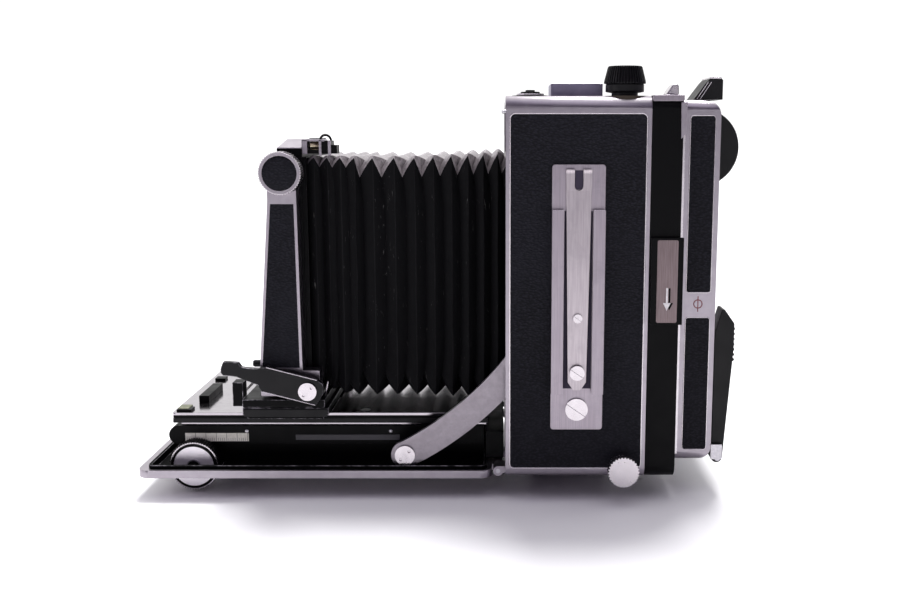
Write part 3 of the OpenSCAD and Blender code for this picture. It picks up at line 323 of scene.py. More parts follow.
# Pleat edges: wear, with a painted highlight along the edge from each peak into the V.
PLEAT_EDGE = dust_and_sheen("bellows_pleat_edge", (0.16, 0.15, 0.155), (0.62, 0.58, 0.60))
TONGUE = stained(metal("leaf_metal", (0.38, 0.34, 0.365), (0.48, 0.435, 0.46), 0.32, (2200, 2200, 80)),
                 90, 0.5, (0.33, 0.30, 0.325), 0.5)
SCALE = scale_strip()
PAD = dust_and_sheen("green_pad", (0.05, 0.06, 0.025), (0.16, 0.16, 0.085), 0.5)
WHITE_FILL = dust_and_sheen("white_fill", (0.55, 0.53, 0.54), (0.8, 0.78, 0.79), 0.5)
RED_FILL = dust_and_sheen("red_fill", (0.10, 0.008, 0.014), (0.2, 0.018, 0.028), 0.5)

MATERIAL_OF = {
    "satin_aluminium": SATIN, "shoe_aluminium": BRUSHED, "bright_metal": BRIGHT,
    "black_leather": LEATHER, "black_enamel": ENAMEL, "crackle_black": CRACKLE,
    "grey_enamel": GREY, "bellows_cloth": CLOTH, "black_plastic": PLASTIC,
    "scale_white": SCALE, "brass": BRASS, "steel": STEEL,
}


# ---------------------------------------------------------------- CAD nodes

def soften(node, width_mm, segments=2, worn=False, angle=32):
    """Rounds a CAD node's edges with modifiers; with worn, the edges show bare metal."""
    obj = NODES[node]
    weld = obj.modifiers.new("weld", "WELD")
    weld.merge_threshold = 1e-6
    flat = obj.modifiers.new("flat", "DECIMATE")
    flat.decimate_type = "DISSOLVE"
    flat.angle_limit = math.radians(1.0)
    bevel = obj.modifiers.new("bevel", "BEVEL")
    bevel.width = width_mm * MM
    bevel.segments = segments
    bevel.limit_method = "ANGLE"
    bevel.angle_limit = math.radians(angle)
    bevel.use_clamp_overlap = True
    bevel.harden_normals = True
    if worn:
        obj.data.materials.append(WORN.material)
        bevel.material = 1


for part in frame["record"]["subparts"]:
    obj = NODES[part["node"]]
    for slot in obj.material_slots:
        slot.material = MATERIAL_OF[part["material_slot"]].material
for node, look in {"finder_shoe": FINDER, "track_plate": TRACK, "lock_lever": SHEEN,
                   "focus_knob_discs": DISC, "strut_left": GREY, "strut_right": GREY}.items():
    NODES[node].material_slots[0].material = look.material

BEVELS = {
    "case_shell": 0.5, "side_leathers": 0.35, "side_shoe": 0.2, "side_shoe_screws": 0.12,
    "finder_shoe": 0.2, "bed": 0.5, "u_frame": 0.5, "arm_leathers": 0.25, "film_back": 0.6,
    "back_leathers": 0.3, "spool_covers": 0.6, "counter_housing": 0.5, "advance_lever": 0.5,
    "hook_bar": 0.2, "strut_left": 0.25, "strut_right": 0.25, "strut_screws": 0.15,
    "tilt_screws": 0.15, "focus_knob_discs": 0.12, "board_latch": 0.2, "tripod_block": 0.6,
    "track_plate": 0.25, "bed_release_button": 0.15, "back_frame": 0.35, "lens_frame": 0.25,
    "lens_board": 0.2, "top_bridge": 0.2, "release_slider": 0.25, "track_stops": 0.2,
    "bellows_front_frame": 0.2, "tripod_bush": 0.2,
}
WORN_BEVELS = {
    "bed_liner": 0.2, "bed_rails": 0.25, "standard_carriage": 0.25, "shift_block": 0.25,
    "lock_lever": 0.3, "focus_lock_lever": 0.15,
}
for node, width in BEVELS.items():
    soften(node, width)
for node, width in WORN_BEVELS.items():
    soften(node, width, worn=True)


# ---------------------------------------------------------------- mesh helpers, in millimetres

def finish_mesh(name, bm, body, looks, smooth_angle=35, bevel=0.0, replaces=()):
    """Turns a bmesh in millimetres into a piece that rides on a body."""
    bmesh.ops.remove_doubles(bm, verts=bm.verts, dist=1e-4)
    bmesh.ops.recalc_face_normals(bm, faces=bm.faces)
    bmesh.ops.scale(bm, vec=(MM, MM, MM), verts=bm.verts)
    mesh = bpy.data.meshes.new(name)
    bm.to_mesh(mesh)
    bm.free()
    for look in looks if isinstance(looks, tuple) else (looks,):
        mesh.materials.append(look.material)
    obj = bpy.data.objects.new(name, mesh)
    bpy.context.scene.collection.objects.link(obj)
    mesh.shade_smooth()
    mesh.set_sharp_from_angle(angle=math.radians(smooth_angle))
    if bevel:
        modifier = obj.modifiers.new("bevel", "BEVEL")
        modifier.width = bevel * MM
        modifier.segments = 2
        modifier.limit_method = "ANGLE"
        modifier.angle_limit = math.radians(35)
        modifier.harden_normals = True
    if body:
        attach(obj, body)
    if replaces:
        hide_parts(*replaces)
    return obj


def add_loft(bm, rings, closed_ends=True, look=None):
    """Skins closed rings of equal length; look(row, i) picks a face's material."""
    made = [[bm.verts.new(p) for p in ring] for ring in rings]
    count = len(made[0])
    for row, (low, high) in enumerate(zip(made, made[1:])):
        for i in range(count):
            j = (i + 1) % count
            face = bm.faces.new((low[i], low[j], high[j], high[i]))
            if look:
                face.material_index = look(row, i)
    if closed_ends:
        bm.faces.new(made[0][::-1])
        bm.faces.new(made[-1])


def to_axis(origin, axis, side):
    """Matrix that puts +Z along axis and +X along side, at origin."""
    z = Vector(axis).normalized()
    x = Vector(side).normalized()
    y = z.cross(x)
    return Matrix.Translation(origin) @ Matrix((x, y, z)).transposed().to_4x4()


def add_lathe(bm, profile, origin, axis, side, steps=64, ripple=None):
    """Turns (radius, height) points about an axis; ripple(i, r, h) may change a radius."""
    place = to_axis(origin, axis, side)
    rings = []
    for r, h in profile:
        ring = []
        for i in range(steps):
            q = ripple(i, r, h) if ripple else r
            a = 2 * math.pi * i / steps
            ring.append(place @ Vector((q * math.cos(a), q * math.sin(a), h)))
        rings.append(ring)
    add_loft(bm, rings, closed_ends=profile[0] != profile[-1])


def add_prism(bm, outline, y0, y1):
    """Extrudes an (x, z) outline from y0 to y1."""
    add_loft(bm, [[Vector((x, y, z)) for x, z in outline] for y in (y0, y1)])


def add_tube(bm, path, radius, sides=12):
    """Sweeps a round wire along points."""
    rings = []
    for i, p in enumerate(path):
        ahead = Vector(path[min(i + 1, len(path) - 1)]) - Vector(path[max(i - 1, 0)])
        side = ahead.cross(Vector((0, 1, 0)))
        if side.length < 1e-6:
            side = ahead.cross(Vector((1, 0, 0)))
        place = to_axis(p, ahead, side)
        rings.append([place @ Vector((radius * math.cos(2 * math.pi * k / sides),
                                      radius * math.sin(2 * math.pi * k / sides), 0))
                      for k in range(sides)])
    add_loft(bm, rings)


def box_mm(node):
    low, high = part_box(node)
    return low * 1000, high * 1000


def centre_mm(node):
    low, high = box_mm(node)
    return (low + high) / 2


# ---------------------------------------------------------------- bellows

FINE_PITCH = 5.9
FINE_PLEATS = 4
WIDEST_PITCH = 9.2
NARROWEST_PITCH = 5.7
OUTER_PLEATS = 8
INNER_PLEATS = 7
SIDE_DEPTH = 2.6
TOP_DEPTH = 2.2
FINE_SHARE = 0.55
CORNER_DROP = 6.9
CORNER_RUN = 9.0
LEAN = 2.0
LEAN_FADE = 9.0
LEAN_RUN = 0.6
PEAK_CHAMFER = 0.9
FRONT_INSET = 0.8
FLARE_START = 5.5
FLARE_SLOPE = 0.6
REAR_CROWN = 1.8
REAR_CROWN_RUN = 40.0
FRONT_LIFT = 3.4
FRONT_LIFT_RUN = 18.0
SIDE_POINTS = 14
WOBBLE = 0.14
SIDE_DIP = 0.5
PUFF = 0.3
ROW_STEPS = (0.0, 0.09, 0.4, 0.7)
STRIP_ENDS = (-102, -70, -62, -22, -10, 12)  # x where one strip hands over to the next


def bellows_ring(x, half_w, half_h, drop, run, lean, mid_z, lift=0.0, rng=None):
    """Rectangle with cut corners that lean towards the lens; lift raises its lower side."""
    corners = [(-half_w, -half_h + drop), (-half_w, half_h - drop), (-half_w + run, half_h),
               (half_w - run, half_h), (half_w, half_h - drop), (half_w, -half_h + drop),
               (half_w - run, -half_h), (-half_w + run, -half_h)]
    ring = []
    for k, (a, b) in enumerate(zip(corners, corners[1:] + corners[:1])):
        points = SIDE_POINTS if k % 2 == 0 else 2
        for i in range(points):
            t = i / points
            y = a[0] + (b[0] - a[0]) * t
            z = a[1] + (b[1] - a[1]) * t
            corner = 0.0
            if abs(y) > half_w - run * LEAN_RUN:
                corner = max(0.0, 1 - (half_h - abs(z)) / (drop + LEAN_FADE))
            wobble = rng.uniform(-WOBBLE, WOBBLE) if rng and points > 2 else 0
            dip = SIDE_DIP * math.sin(math.pi * t) if points > 2 else 0
            ring.append(Vector((x - lean * corner + wobble,
                                y - math.copysign(dip, y) if k in (0, 4) else y,
                                mid_z + (z - math.copysign(dip, z) if k in (2, 6) else z)
                                + lift * max(0.0, -z / half_h))))
    return ring


def crease_places(front_x, back_x):
    """Peaks and creases along x: fine pleats first, then ever narrower ones, then even ones."""
    step = (WIDEST_PITCH - NARROWEST_PITCH) / (OUTER_PLEATS - 1)
    pitches = [FINE_PITCH] * FINE_PLEATS + [WIDEST_PITCH - step * k for k in range(OUTER_PLEATS)]
    inner = (back_x - front_x - sum(pitches)) / INNER_PLEATS
    places = [front_x]
    for pitch in pitches + [inner] * INNER_PLEATS:
        places += [places[-1] + pitch / 2, places[-1] + pitch]
    return places


def crease_rings(creases, low, high):
    """Half width, half height and corner cuts of the loop at every crease (even) and peak (odd)."""
    front_low, front_high = box_mm("bellows_front_frame")
    case_front = box_mm("side_leathers")[0].x
    front_half = (front_high.y - front_low.y) / 2 - FRONT_INSET
    half_w = (high.y - low.y) / 2
    half_h = (high.z - low.z) / 2
    fine_rings = 2 * FINE_PLEATS - 1
    rings = []
    for i, x in enumerate(creases):
        wide = min(half_w, front_half + max(0.0, x - low.x - FLARE_START) * FLARE_SLOPE)
        crown = REAR_CROWN * max(0.0, 1 - abs(x - case_front) / REAR_CROWN_RUN)
        size = FINE_SHARE if i <= fine_rings else 1.0
        if i % 2:
            rings.append((x, wide, half_h + crown, PEAK_CHAMFER, PEAK_CHAMFER, 0.0))
        else:
            rings.append((x, wide - SIDE_DEPTH * size, half_h + crown - TOP_DEPTH * size,
                          CORNER_DROP * size, CORNER_RUN * size, LEAN * size))
    return rings


def pleat_loops(rings, front_x, mid_z):
    """Slightly uneven loops of points, keyed by crease and by step towards the next crease."""
    rng = random.Random(7)
    loops = {}
    for i, (a, b) in enumerate(zip(rings, rings[1:])):
        for row, t in enumerate(ROW_STEPS):
            x, w, h, drop, run, lean = (p + (q - p) * t for p, q in zip(a, b))
            puff = PUFF * math.sin(math.pi * t)
            lift = FRONT_LIFT * max(0.0, 1 - (x - front_x) / FRONT_LIFT_RUN)
            loops[i, row] = bellows_ring(x, w + puff, h + puff, drop, run, lean, mid_z, lift,
                                         rng if t else None)
    loops[len(rings) - 1, 0] = bellows_ring(*rings[-1], mid_z)
    return loops


def bellows():
    """Pleated tube from the front plate to the back frame, cut at creases into one strip per joint."""
    low, high = box_mm("bellows")
    creases = crease_places(low.x, high.x)
    strips = pleat_loops(crease_rings(creases, low, high), low.x, (high.z + low.z) / 2)
    cuts = [0] + [min(range(len(creases)), key=lambda i: abs(creases[i] - x)) for x in STRIP_ENDS]
    cuts.append(len(creases) - 1)
    # a loop's points run up the near side, over the top, down the far side and back below
    top_points = range(SIDE_POINTS, 2 * SIDE_POINTS + 4)
    bottom_points = range(3 * SIDE_POINTS + 4, 4 * SIDE_POINTS + 8)
    rows = len(ROW_STEPS)
    for number, (a, b) in enumerate(zip(cuts, cuts[1:])):

        def look(row, i, first=a):
            # Looks 2 and 3 on top carry painted sheen and, in the first row after every other crease, a
            # painted highlight; look 1 is the glossier crease cloth.
            worn = (first + row // rows) % 2 and row % rows == 0
            if i in top_points:
                return 3 if worn else 2
            return 1 if worn or i in bottom_points and i % (SIDE_POINTS + 2) >= SIDE_POINTS else 0

        bm = bmesh.new()
        strip = [strips[i, row] for i in range(a, b) for row in range(rows)] + [strips[b, 0]]
        add_loft(bm, strip, closed_ends=False, look=look)
        piece = finish_mesh(f"bellows_{number + 1}", bm, None,
                            (CLOTH, CREASE, PLEAT_TOP, PLEAT_EDGE), 30)
        if number == 0:
            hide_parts("bellows")
        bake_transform(piece)


bellows()


# ---------------------------------------------------------------- small pieces

def box_piece(name, body, look, low, high, bevel=0.15):
    bm = bmesh.new()
    add_prism(bm, [(low[0], low[2]), (high[0], low[2]), (high[0], high[2]), (low[0], high[2])],
              low[1], high[1])
    return finish_mesh(name, bm, body, look, bevel=bevel)


def turned_piece(name, body, look, profile, origin, axis, steps=64, ripple=None, replaces=(),
                 smooth_angle=35):
    side = (1, 0, 0) if abs(axis[0]) < 0.5 else (0, 1, 0)
    bm = bmesh.new()
    add_lathe(bm, profile, origin, axis, side, steps, ripple)
    return finish_mesh(name, bm, body, look, smooth_angle, replaces=replaces)


def teeth(count, steps, depth, low=-1e9, high=1e9):
    """Ripple for add_lathe: every other step stands in by depth between two heights."""
    per = steps // count
    return lambda i, r, h: r - depth if low <= h <= high and i % per >= per / 2 else r


def rounded_path(x0, x1, z0, z1, radius, y, steps=5):
    """Closed loop of points round a rectangle with round corners, at depth y."""
    path = []
    for cx, cz, start in ((x1 - radius, z1 - radius, 0), (x0 + radius, z1 - radius, 90),
                          (x0 + radius, z0 + radius, 180), (x1 - radius, z0 + radius, 270)):
        for k in range(steps + 1):
            a = math.radians(start + 90 * k / steps)
            path.append((cx + radius * math.cos(a), y, cz + radius * math.sin(a)))
    return path


def bead(name, body, path, radius):
    """Fine raised line round a closed path that lies in a side face."""
    bm = bmesh.new()
    count = len(path)
    rings = []
    for i in range(count):
        before, here, after = (Vector(path[k % count]) for k in (i - 1, i, i + 1))
        ahead = (after - here).normalized() + (here - before).normalized()
        place = to_axis(here, ahead, (0, 1, 0))
        rings.append([bm.verts.new(place @ Vector((radius * math.cos(a), radius * math.sin(a), 0)))
                      for a in (math.pi * k / 4 for k in range(8))])
    for i in range(count):
        low, high = rings[i], rings[(i + 1) % count]
        for k in range(8):
            m = (k + 1) % 8
            bm.faces.new((low[k], low[m], high[m], high[k]))
    return finish_mesh(name, bm, body, BRIGHT, 60)


def wire(name, body, look, path, radius):
    bm = bmesh.new()
    add_tube(bm, path, radius)
    return finish_mesh(name, bm, body, look, 60)


BEAD_STAND = 0.02


def case_details():
    """Beads round the side skins, the pin at the front edge and bright wires as painted highlights along
    the finder shoe's top edges.
    """
    low, high = box_mm("case_shell")
    skin_low, skin_high = box_mm("side_leathers")
    for side, y in (("near", low.y - BEAD_STAND), ("far", high.y + BEAD_STAND)):
        path = rounded_path(skin_low.x, skin_high.x, skin_low.z, skin_high.z, 2.0, y)
        bead(f"case_bead_{side}", "case", path, 0.28)
    turned_piece("front_edge_pin", "case", STEEL, [(0.8, 0), (0.8, 1.3), (0.5, 1.6)],
                 (skin_low.x - 1.7, low.y + 2.5, high.z - 6.1), (-1, 0, 0), 20)
    shoe_low, shoe_high = box_mm("finder_shoe")
    # Bright wires as painted highlights of the catch light on the shoe's top edges.
    for number, y in enumerate((shoe_low.y + 0.25, shoe_high.y - 0.25)):
        wire(f"finder_shoe_edge_{number + 1}", "case", BRIGHT,
             [(shoe_low.x + 0.1, y, shoe_high.z), (shoe_high.x - 0.1, y, shoe_high.z)], 0.22)


def finder_knob():
    """Knurled knob on the case and, below it, a flat dark ring of painted shade standing for the hollow
    round the knob.
    """
    low, high = box_mm("finder_knob")
    mid = (low + high) / 2
    top = high.z
    profile = [(4.4, -13.5), (4.4, -12.6), (5.3, -12.0), (5.3, -10.6), (7.6, -10.2), (7.75, -9.9),
               (7.75, -7.5), (7.5, -7.1), (8.3, -6.9), (8.45, -6.5), (8.3, -5.6), (6.95, -0.4), (6.6, 0),
               (3.4, 0), (3.2, -0.3), (0.6, -0.3)]
    turned_piece("finder_knob_grip", "finder_knob", SHEEN, profile, (mid.x, mid.y, top),
                 (0, 0, 1), 176, teeth(44, 176, 0.55, -6.6, 0.0), ("finder_knob",), 25)
    turned_piece("knob_dish_shade", "case", DISH_SHADE,
                 [(9.4, -1.5), (9.4, 0.08), (11.5, 0.08), (11.7, -3.2), (9.4, -1.5)],
                 (mid.x, mid.y, box_mm("case_shell")[1].z), (0, 0, 1), 96)


def release_button():
    """Collar round the bed release button and the glint on the button's rim."""
    mid = centre_mm("bed_release_button")
    place = (mid.x, mid.y, box_mm("case_shell")[1].z)
    turned_piece("button_plate", "case", ENAMEL,
                 [(7.4, -0.1), (7.4, 0.35), (5.6, 0.5), (5.6, -0.1), (7.4, -0.1)],
                 place, (0, 0, 1), 64)
    turned_piece("button_glint", "bed_button", BRIGHT,
                 [(4.9, 0.55), (5.55, 0.6), (5.55, 1.15), (4.9, 1.2), (4.9, 0.55)],
                 place, (0, 0, 1), 64)


def arm_knobs():
    """Leather inlay and bare ring in the outer face of each arm knob."""
    for side, sign in (("left", -1), ("right", 1)):
        node = f"arm_knob_{side}"
        mid = centre_mm(node)
        low, high = box_mm(node)
        face = low.y if sign < 0 else high.y
        out = (0, sign, 0)
        recess = (mid.x, face - sign * 0.62, mid.z)
        turned_piece(f"{node}_leather", node, LEATHER,
                     [(7.15, 0), (7.15, 0.3), (6.9, 0.46), (4, 0.52), (0.4, 0.54)], recess, out, 64)
        turned_piece(f"{node}_ring", node, SATIN,
                     [(7.2, -0.5), (7.25, 0.08), (8.3, 0.1), (8.55, -0.3), (7.2, -0.5)],
                     (mid.x, face, mid.z), out, 64)


LEAF_THICK = 0.55
LEAF_ROOT = 3.7
LEAF_SPREAD = 1.5
LEAF_STAND = 0.62
LEAF_BOW = 0.495
LEAF_NOSE = 2.5
LEAF_ROWS = 24
FORK_DEPTH = 8.6
FORK_GAP = 1.7
PRONG_ROWS = 18
FORK_ROUND = 0.22
CURL_START = 0.72
CURL_OUT = 1.1
PRONG_LEAD = 1.15
TIP_TAPER = 0.22
RAIL_WIDTH = 4.9
RAIL_DROP = 17.9
RAIL_PLATE = 1.0


def leaf_half_width(z, low, high):
    return LEAF_ROOT + LEAF_SPREAD * (z - low) / (high - low)


def leaf_section(x0, x1, y, z):
    return [Vector((x0, y, z)), Vector((x1, y, z)),
            Vector((x1, y + LEAF_THICK, z)), Vector((x0, y + LEAF_THICK, z))]


def side_spring():
    """Tapered leaf in the accessory shoe, forked and curled outwards at its top."""
    low, high = box_mm("side_shoe_spring")
    mid_x = (low.x + high.x) / 2
    fork_z = high.z - FORK_DEPTH

    def face_y(z):
        share = min(1.0, (z - low.z) / (high.z - low.z))
        return low.y + LEAF_STAND - LEAF_BOW * math.sin(math.pi * share) ** 2

    bm = bmesh.new()
    rings = []
    for k in range(LEAF_ROWS + 1):
        z = low.z + (fork_z - low.z) * k / LEAF_ROWS
        w = leaf_half_width(z, low.z, high.z)
        if z < low.z + LEAF_NOSE:
            w *= math.sqrt(max(0.15, 1 - (1 - (z - low.z) / LEAF_NOSE) ** 2))
        rings.append(leaf_section(mid_x - w, mid_x + w, face_y(z), z))
    add_loft(bm, rings)
    for side in (-1, 1):
        prong = []
        for k in range(PRONG_ROWS + 1):
            t = k / PRONG_ROWS
            z = fork_z + (high.z - fork_z) * min(1.0, t * PRONG_LEAD)
            curl = max(0.0, t - CURL_START) / (1 - CURL_START)
            y = face_y(fork_z) - CURL_OUT * math.sin(math.pi / 2 * curl) ** 2
            w = leaf_half_width(z, low.z, high.z) * (1 - TIP_TAPER * curl ** 3)
            below = max(0.0, (FORK_ROUND - t) / FORK_ROUND)
            gap = max(FORK_GAP * math.sqrt(1 - below ** 2), 0.02)
            a, b = sorted((side * gap, side * w))
            prong.append(leaf_section(mid_x + a, mid_x + b, y, z))
        add_loft(bm, prong)
    finish_mesh("side_shoe_leaf", bm, "case", TONGUE, 50, bevel=0.12,
                replaces=("side_shoe_spring",))
    behind = face_y(fork_z) + LEAF_THICK
    # Dark sheet of painted shade behind the fork's notch, where the notch's depth throws shade.
    box_piece("shoe_notch_shade", "case", SHADE,
              (mid_x - FORK_GAP, behind, fork_z + 0.5), (mid_x + FORK_GAP, behind + 0.12, high.z - 0.6), 0)


def side_shoe_channel():
    """Dark sheet of painted shade on the floor of the channel between the rails, and a bright wire as a
    painted glint on each rail's top.
    """
    leaf_low = box_mm("side_shoe_spring")[0]
    low, high = box_mm("side_shoe")
    rail_top = high.z - RAIL_DROP
    plate_y = high.y - RAIL_PLATE
    box_piece("shoe_channel_shade", "case", SHADE,
              (low.x + RAIL_WIDTH, plate_y - 0.06, leaf_low.z + 0.6),
              (high.x - RAIL_WIDTH, plate_y + 0.02, rail_top - 0.4), 0)
    for side, x in (("left", low.x), ("right", high.x - RAIL_WIDTH)):
        wire(f"shoe_rail_glint_{side}", "case", BRIGHT,
             [(x + 0.2, low.y + 0.25, rail_top), (x + RAIL_WIDTH - 0.2, low.y + 0.25, rail_top)], 0.22)


def bridge_details():
    """Sloped plates, cheeks, strap, brass barrel and foot of the bridge on the lens frame."""
    low, high = box_mm("top_bridge")
    frame_low, frame_high = box_mm("lens_frame")
    base = frame_high.z
    edge = low.y
    run, rise = 12.0, 3.6
    lift = 0.35
    for side, sign in (("near", 1), ("far", -1)):
        bm = bmesh.new()
        outer = Vector((0, sign * (edge - 0.2), base + rise + lift))
        inner = Vector((0, sign * (edge + run - 0.6), base + 2 * rise + lift))
        x0, x1, back = frame_low.x + 0.7, frame_high.x - 0.1, 2.4
        top = [Vector((x0, outer.y, outer.z)), Vector((x1, outer.y, outer.z)),
               Vector((x1, inner.y, inner.z)), Vector((x0 + back, inner.y, inner.z))]
        add_loft(bm, [[v - Vector((0, 0, 0.5)) for v in top], top])
        finish_mesh(f"bridge_plate_{side}", bm, "lens", SATIN, bevel=0.12)
    x0 = frame_high.x
    near = edge - 0.25
    plates = {
        "bridge_cheek_1": ((x0 + 0.2, near, base + 1.2), (x0 + 2.3, near + 0.5, base + 7.1)),
        "bridge_cheek_2": ((x0 + 7.2, near, base + 0.4), (x0 + 8.3, near + 0.5, base + 7.1)),
        "bridge_cheek_3": ((x0 + 11.0, near, base + 0.3), (x0 + 12.3, near + 0.5, base + 6.9)),
        "bridge_strap": ((x0 + 0.2, near, base + 6.5), (x0 + 9.6, near + 8, base + 7.3)),
    }
    for name, (corner, other) in plates.items():
        box_piece(name, "lens", SATIN, corner, other, 0.12)
    roll_low, roll_high = box_mm("bridge_roller")
    turned_piece("bridge_barrel", "lens", BRASS,
                 [(1.9, 0), (2.2, 0.25), (2.0, 1.0), (1.7, 2.1), (2.0, 3.2), (2.2, 3.95), (1.9, 4.2)],
                 (roll_low.x, (roll_low.y + roll_high.y) / 2, (roll_low.z + roll_high.z) / 2),
                 (1, 0, 0), 40, None, ("bridge_roller",))
    turned_piece("bridge_foot", "lens", ENAMEL,
                 [(2.2, 0), (2.2, 1.2), (1.4, 2.2), (0.4, 2.5)],
                 (high.x - 2.6, edge + 9, base + 1.4), (0, 0, 1), 32)


def focus_details():
    """Hub and rings in the discs of both focusing knobs."""
    mid = centre_mm("focus_knobs")
    face_low, face_high = box_mm("focus_knob_discs")
    for side, y, out in (("near", face_low.y, -1), ("far", face_high.y, 1)):
        axis = (0, out, 0)
        turned_piece(f"focus_hub_{side}", "focus_drive", ENAMEL,
                     [(2.9, -0.3), (2.9, 0.3), (2.5, 0.6), (1.1, 0.75), (0.3, 0.75)],
                     (mid.x, y, mid.z), axis, 40)
        turned_piece(f"focus_dark_ring_{side}", "focus_drive", ENAMEL,
                     [(8.6, -0.2), (8.65, 0.12), (9.6, 0.12), (9.9, -0.4), (8.6, -0.2)],
                     (mid.x, y, mid.z), axis, 96)
        turned_piece(f"focus_tick_ring_{side}", "focus_drive", BRIGHT,
                     [(9.8, -0.8), (9.85, -0.3), (10.45, -0.35), (10.5, -0.8), (9.8, -0.8)],
                     (mid.x, y, mid.z), axis, 240,
                     lambda i, r, h: r - 0.3 if r > 10 and i % 4 > 1 else r, (), 20)


TRACK_SCREW_RUN = 82.7
RAIL_SCREW_RUNS = (33.8, 96.2)
BED_SCREW_RUNS = (42.5, 98.5, 135.5)


def track_details():
    """Grooved dark edges, green pads and screws of the sliding track plate."""
    low, high = box_mm("track_plate")
    deck = high.z
    for side, sign in (("near", -1), ("far", 1)):
        y = sign * high.y
        box_piece(f"track_groove_{side}", "track", ENAMEL,
                  (low.x + 0.6, min(y, y + sign * 0.12), deck - 2.3),
                  (high.x - 0.2, max(y, y + sign * 0.12), deck - 1.1), 0)
        box_piece(f"track_band_{side}", "track", SHEEN,
                  (low.x + 0.4, min(y, y + sign * 0.25), deck - 4.4),
                  (high.x - 0.2, max(y, y + sign * 0.25), deck - 2.35), 0.1)
        pad_y = sign * (high.y - 6)
        box_piece(f"track_pad_{side}", "track", PAD,
                  (low.x + 1.5, pad_y - 3.5, deck), (low.x + 6.5, pad_y + 3.5, deck + 1.3), 0.4)
        turned_piece(f"track_screw_{side}", "track", STEEL, [(2.2, 0), (2.2, 0.06), (0.3, 0.1)],
                     (low.x + TRACK_SCREW_RUN, sign * (high.y - 5), deck - 0.02), (0, 0, 1), 32)


def bed_details():
    """Screws of the rails and the pan, and the apron that closes the gap towards the case."""
    rail_low, rail_high = box_mm("bed_rails")
    for number, run in enumerate(RAIL_SCREW_RUNS):
        for side, y, out in (("near", rail_low.y, -1), ("far", rail_high.y, 1)):
            turned_piece(f"rail_screw_{side}_{number + 1}", "bed", STEEL,
                         [(0.75, -0.2), (0.75, 0.25), (0.3, 0.4)],
                         (rail_low.x + run, y, rail_high.z - 2.4), (0, out, 0), 20)
    liner_low, liner_high = box_mm("bed_liner")
    bed_high = box_mm("bed")[1]
    box_piece("bed_apron", "bed", ENAMEL,
              (liner_high.x - 0.6, liner_low.y + 8.5, liner_high.z + 0.8),
              (bed_high.x + 0.3, liner_high.y - 8.5, rail_high.z - 0.3), 0.3)
    for number, run in enumerate(BED_SCREW_RUNS):
        for side, sign in (("near", -1), ("far", 1)):
            turned_piece(f"bed_screw_{side}_{number + 1}", "bed", SHEEN,
                         [(2.2, 0), (2.2, 0.5), (1.6, 0.8), (0.3, 0.85)],
                         (liner_low.x + run, sign * (liner_high.y - 4.5), liner_low.z + 0.5),
                         (0, 0, 1), 24)


def standard_details():
    """Bright edges of the lock lever, bare metal with a painted highlight, pin at the arm's foot, band and
    posts of the standard's base.
    """
    pivot = centre_mm("tilt_screws")
    face = box_mm("lock_lever")[0].y + 0.1
    edges = {"top": ((-17.2, 10.3), (4.0, 4.75)), "low": ((3.0, -5.95), (-19.0, -0.2))}
    # Bright wires along the lever's edges: bare metal, with a painted highlight.
    for name, ends in edges.items():
        wire(f"lever_edge_{name}", "lock_lever", BRIGHT,
             [(pivot.x + x, face, pivot.z + z) for x, z in ends], 0.24)
    inlay_low = box_mm("arm_leathers")[0]
    turned_piece("foot_pin", "u_frame", PLASTIC,
                 [(1.5, 0), (1.5, 3.6), (1.2, 4.2), (0.4, 4.4)],
                 (inlay_low.x - 0.5, inlay_low.y + 3.8, inlay_low.z + 1.2), (-1, 0, 0), 28)
    base_low, base_high = box_mm("standard_carriage")
    shift_low = box_mm("shift_block")[0]
    box_piece("carriage_band", "carriage", SHEEN,
              (base_low.x + 0.6, base_low.y - 0.15, base_low.z + 0.9),
              (base_high.x - 0.6, base_low.y + 0.2, base_high.z - 0.7), 0.1)
    for number, x in enumerate((base_high.x - 3.2, base_high.x - 8.4)):
        turned_piece(f"carriage_post_{number + 1}", "shift", BRIGHT,
                     [(0.7, 0), (0.7, 5.4), (0.4, 5.8)],
                     (x, shift_low.y + 12.2, shift_low.z + 3.4), (0.25, 0, 1), 20)


FILM_MARK_RISE = 67.7
LOWER_SKIN_TOP = 62.0
UPPER_SKIN_FOOT = 72.5
BAND_WIDTH = 12.2
CATCH_Y = -39.0
HOOK_LENGTH = 14.2
RIDGES = 7
RIDGE_PITCH = 2.2


def slider_details():
    """Label plate of the release slider with its generic arrow."""
    low, high = box_mm("release_slider")
    face = low.y + 0.3
    plate = rounded_path(low.x + 2.4, high.x - 2.2, low.z + 0.9, high.z - 0.9, 0.7, 0, 3)
    bm = bmesh.new()
    add_prism(bm, [(x, z) for x, _, z in plate], face - 0.14, face + 0.1)
    finish_mesh("slider_plate", bm, "release", PLATE)
    mid = (low.x + high.x) / 2 + 0.1
    tip = low.z + 5.9
    neck, tail = tip + 3.1, tip + 9.2
    barb, shaft = 1.55, 0.38
    arrow = [(mid, tip), (mid + barb, neck), (mid + shaft, neck), (mid + shaft, tail),
             (mid - shaft, tail), (mid - shaft, neck), (mid - barb, neck)]
    bm = bmesh.new()
    add_prism(bm, arrow, face - 0.34, face - 0.1)
    finish_mesh("slider_arrow", bm, "release", WHITE_FILL)


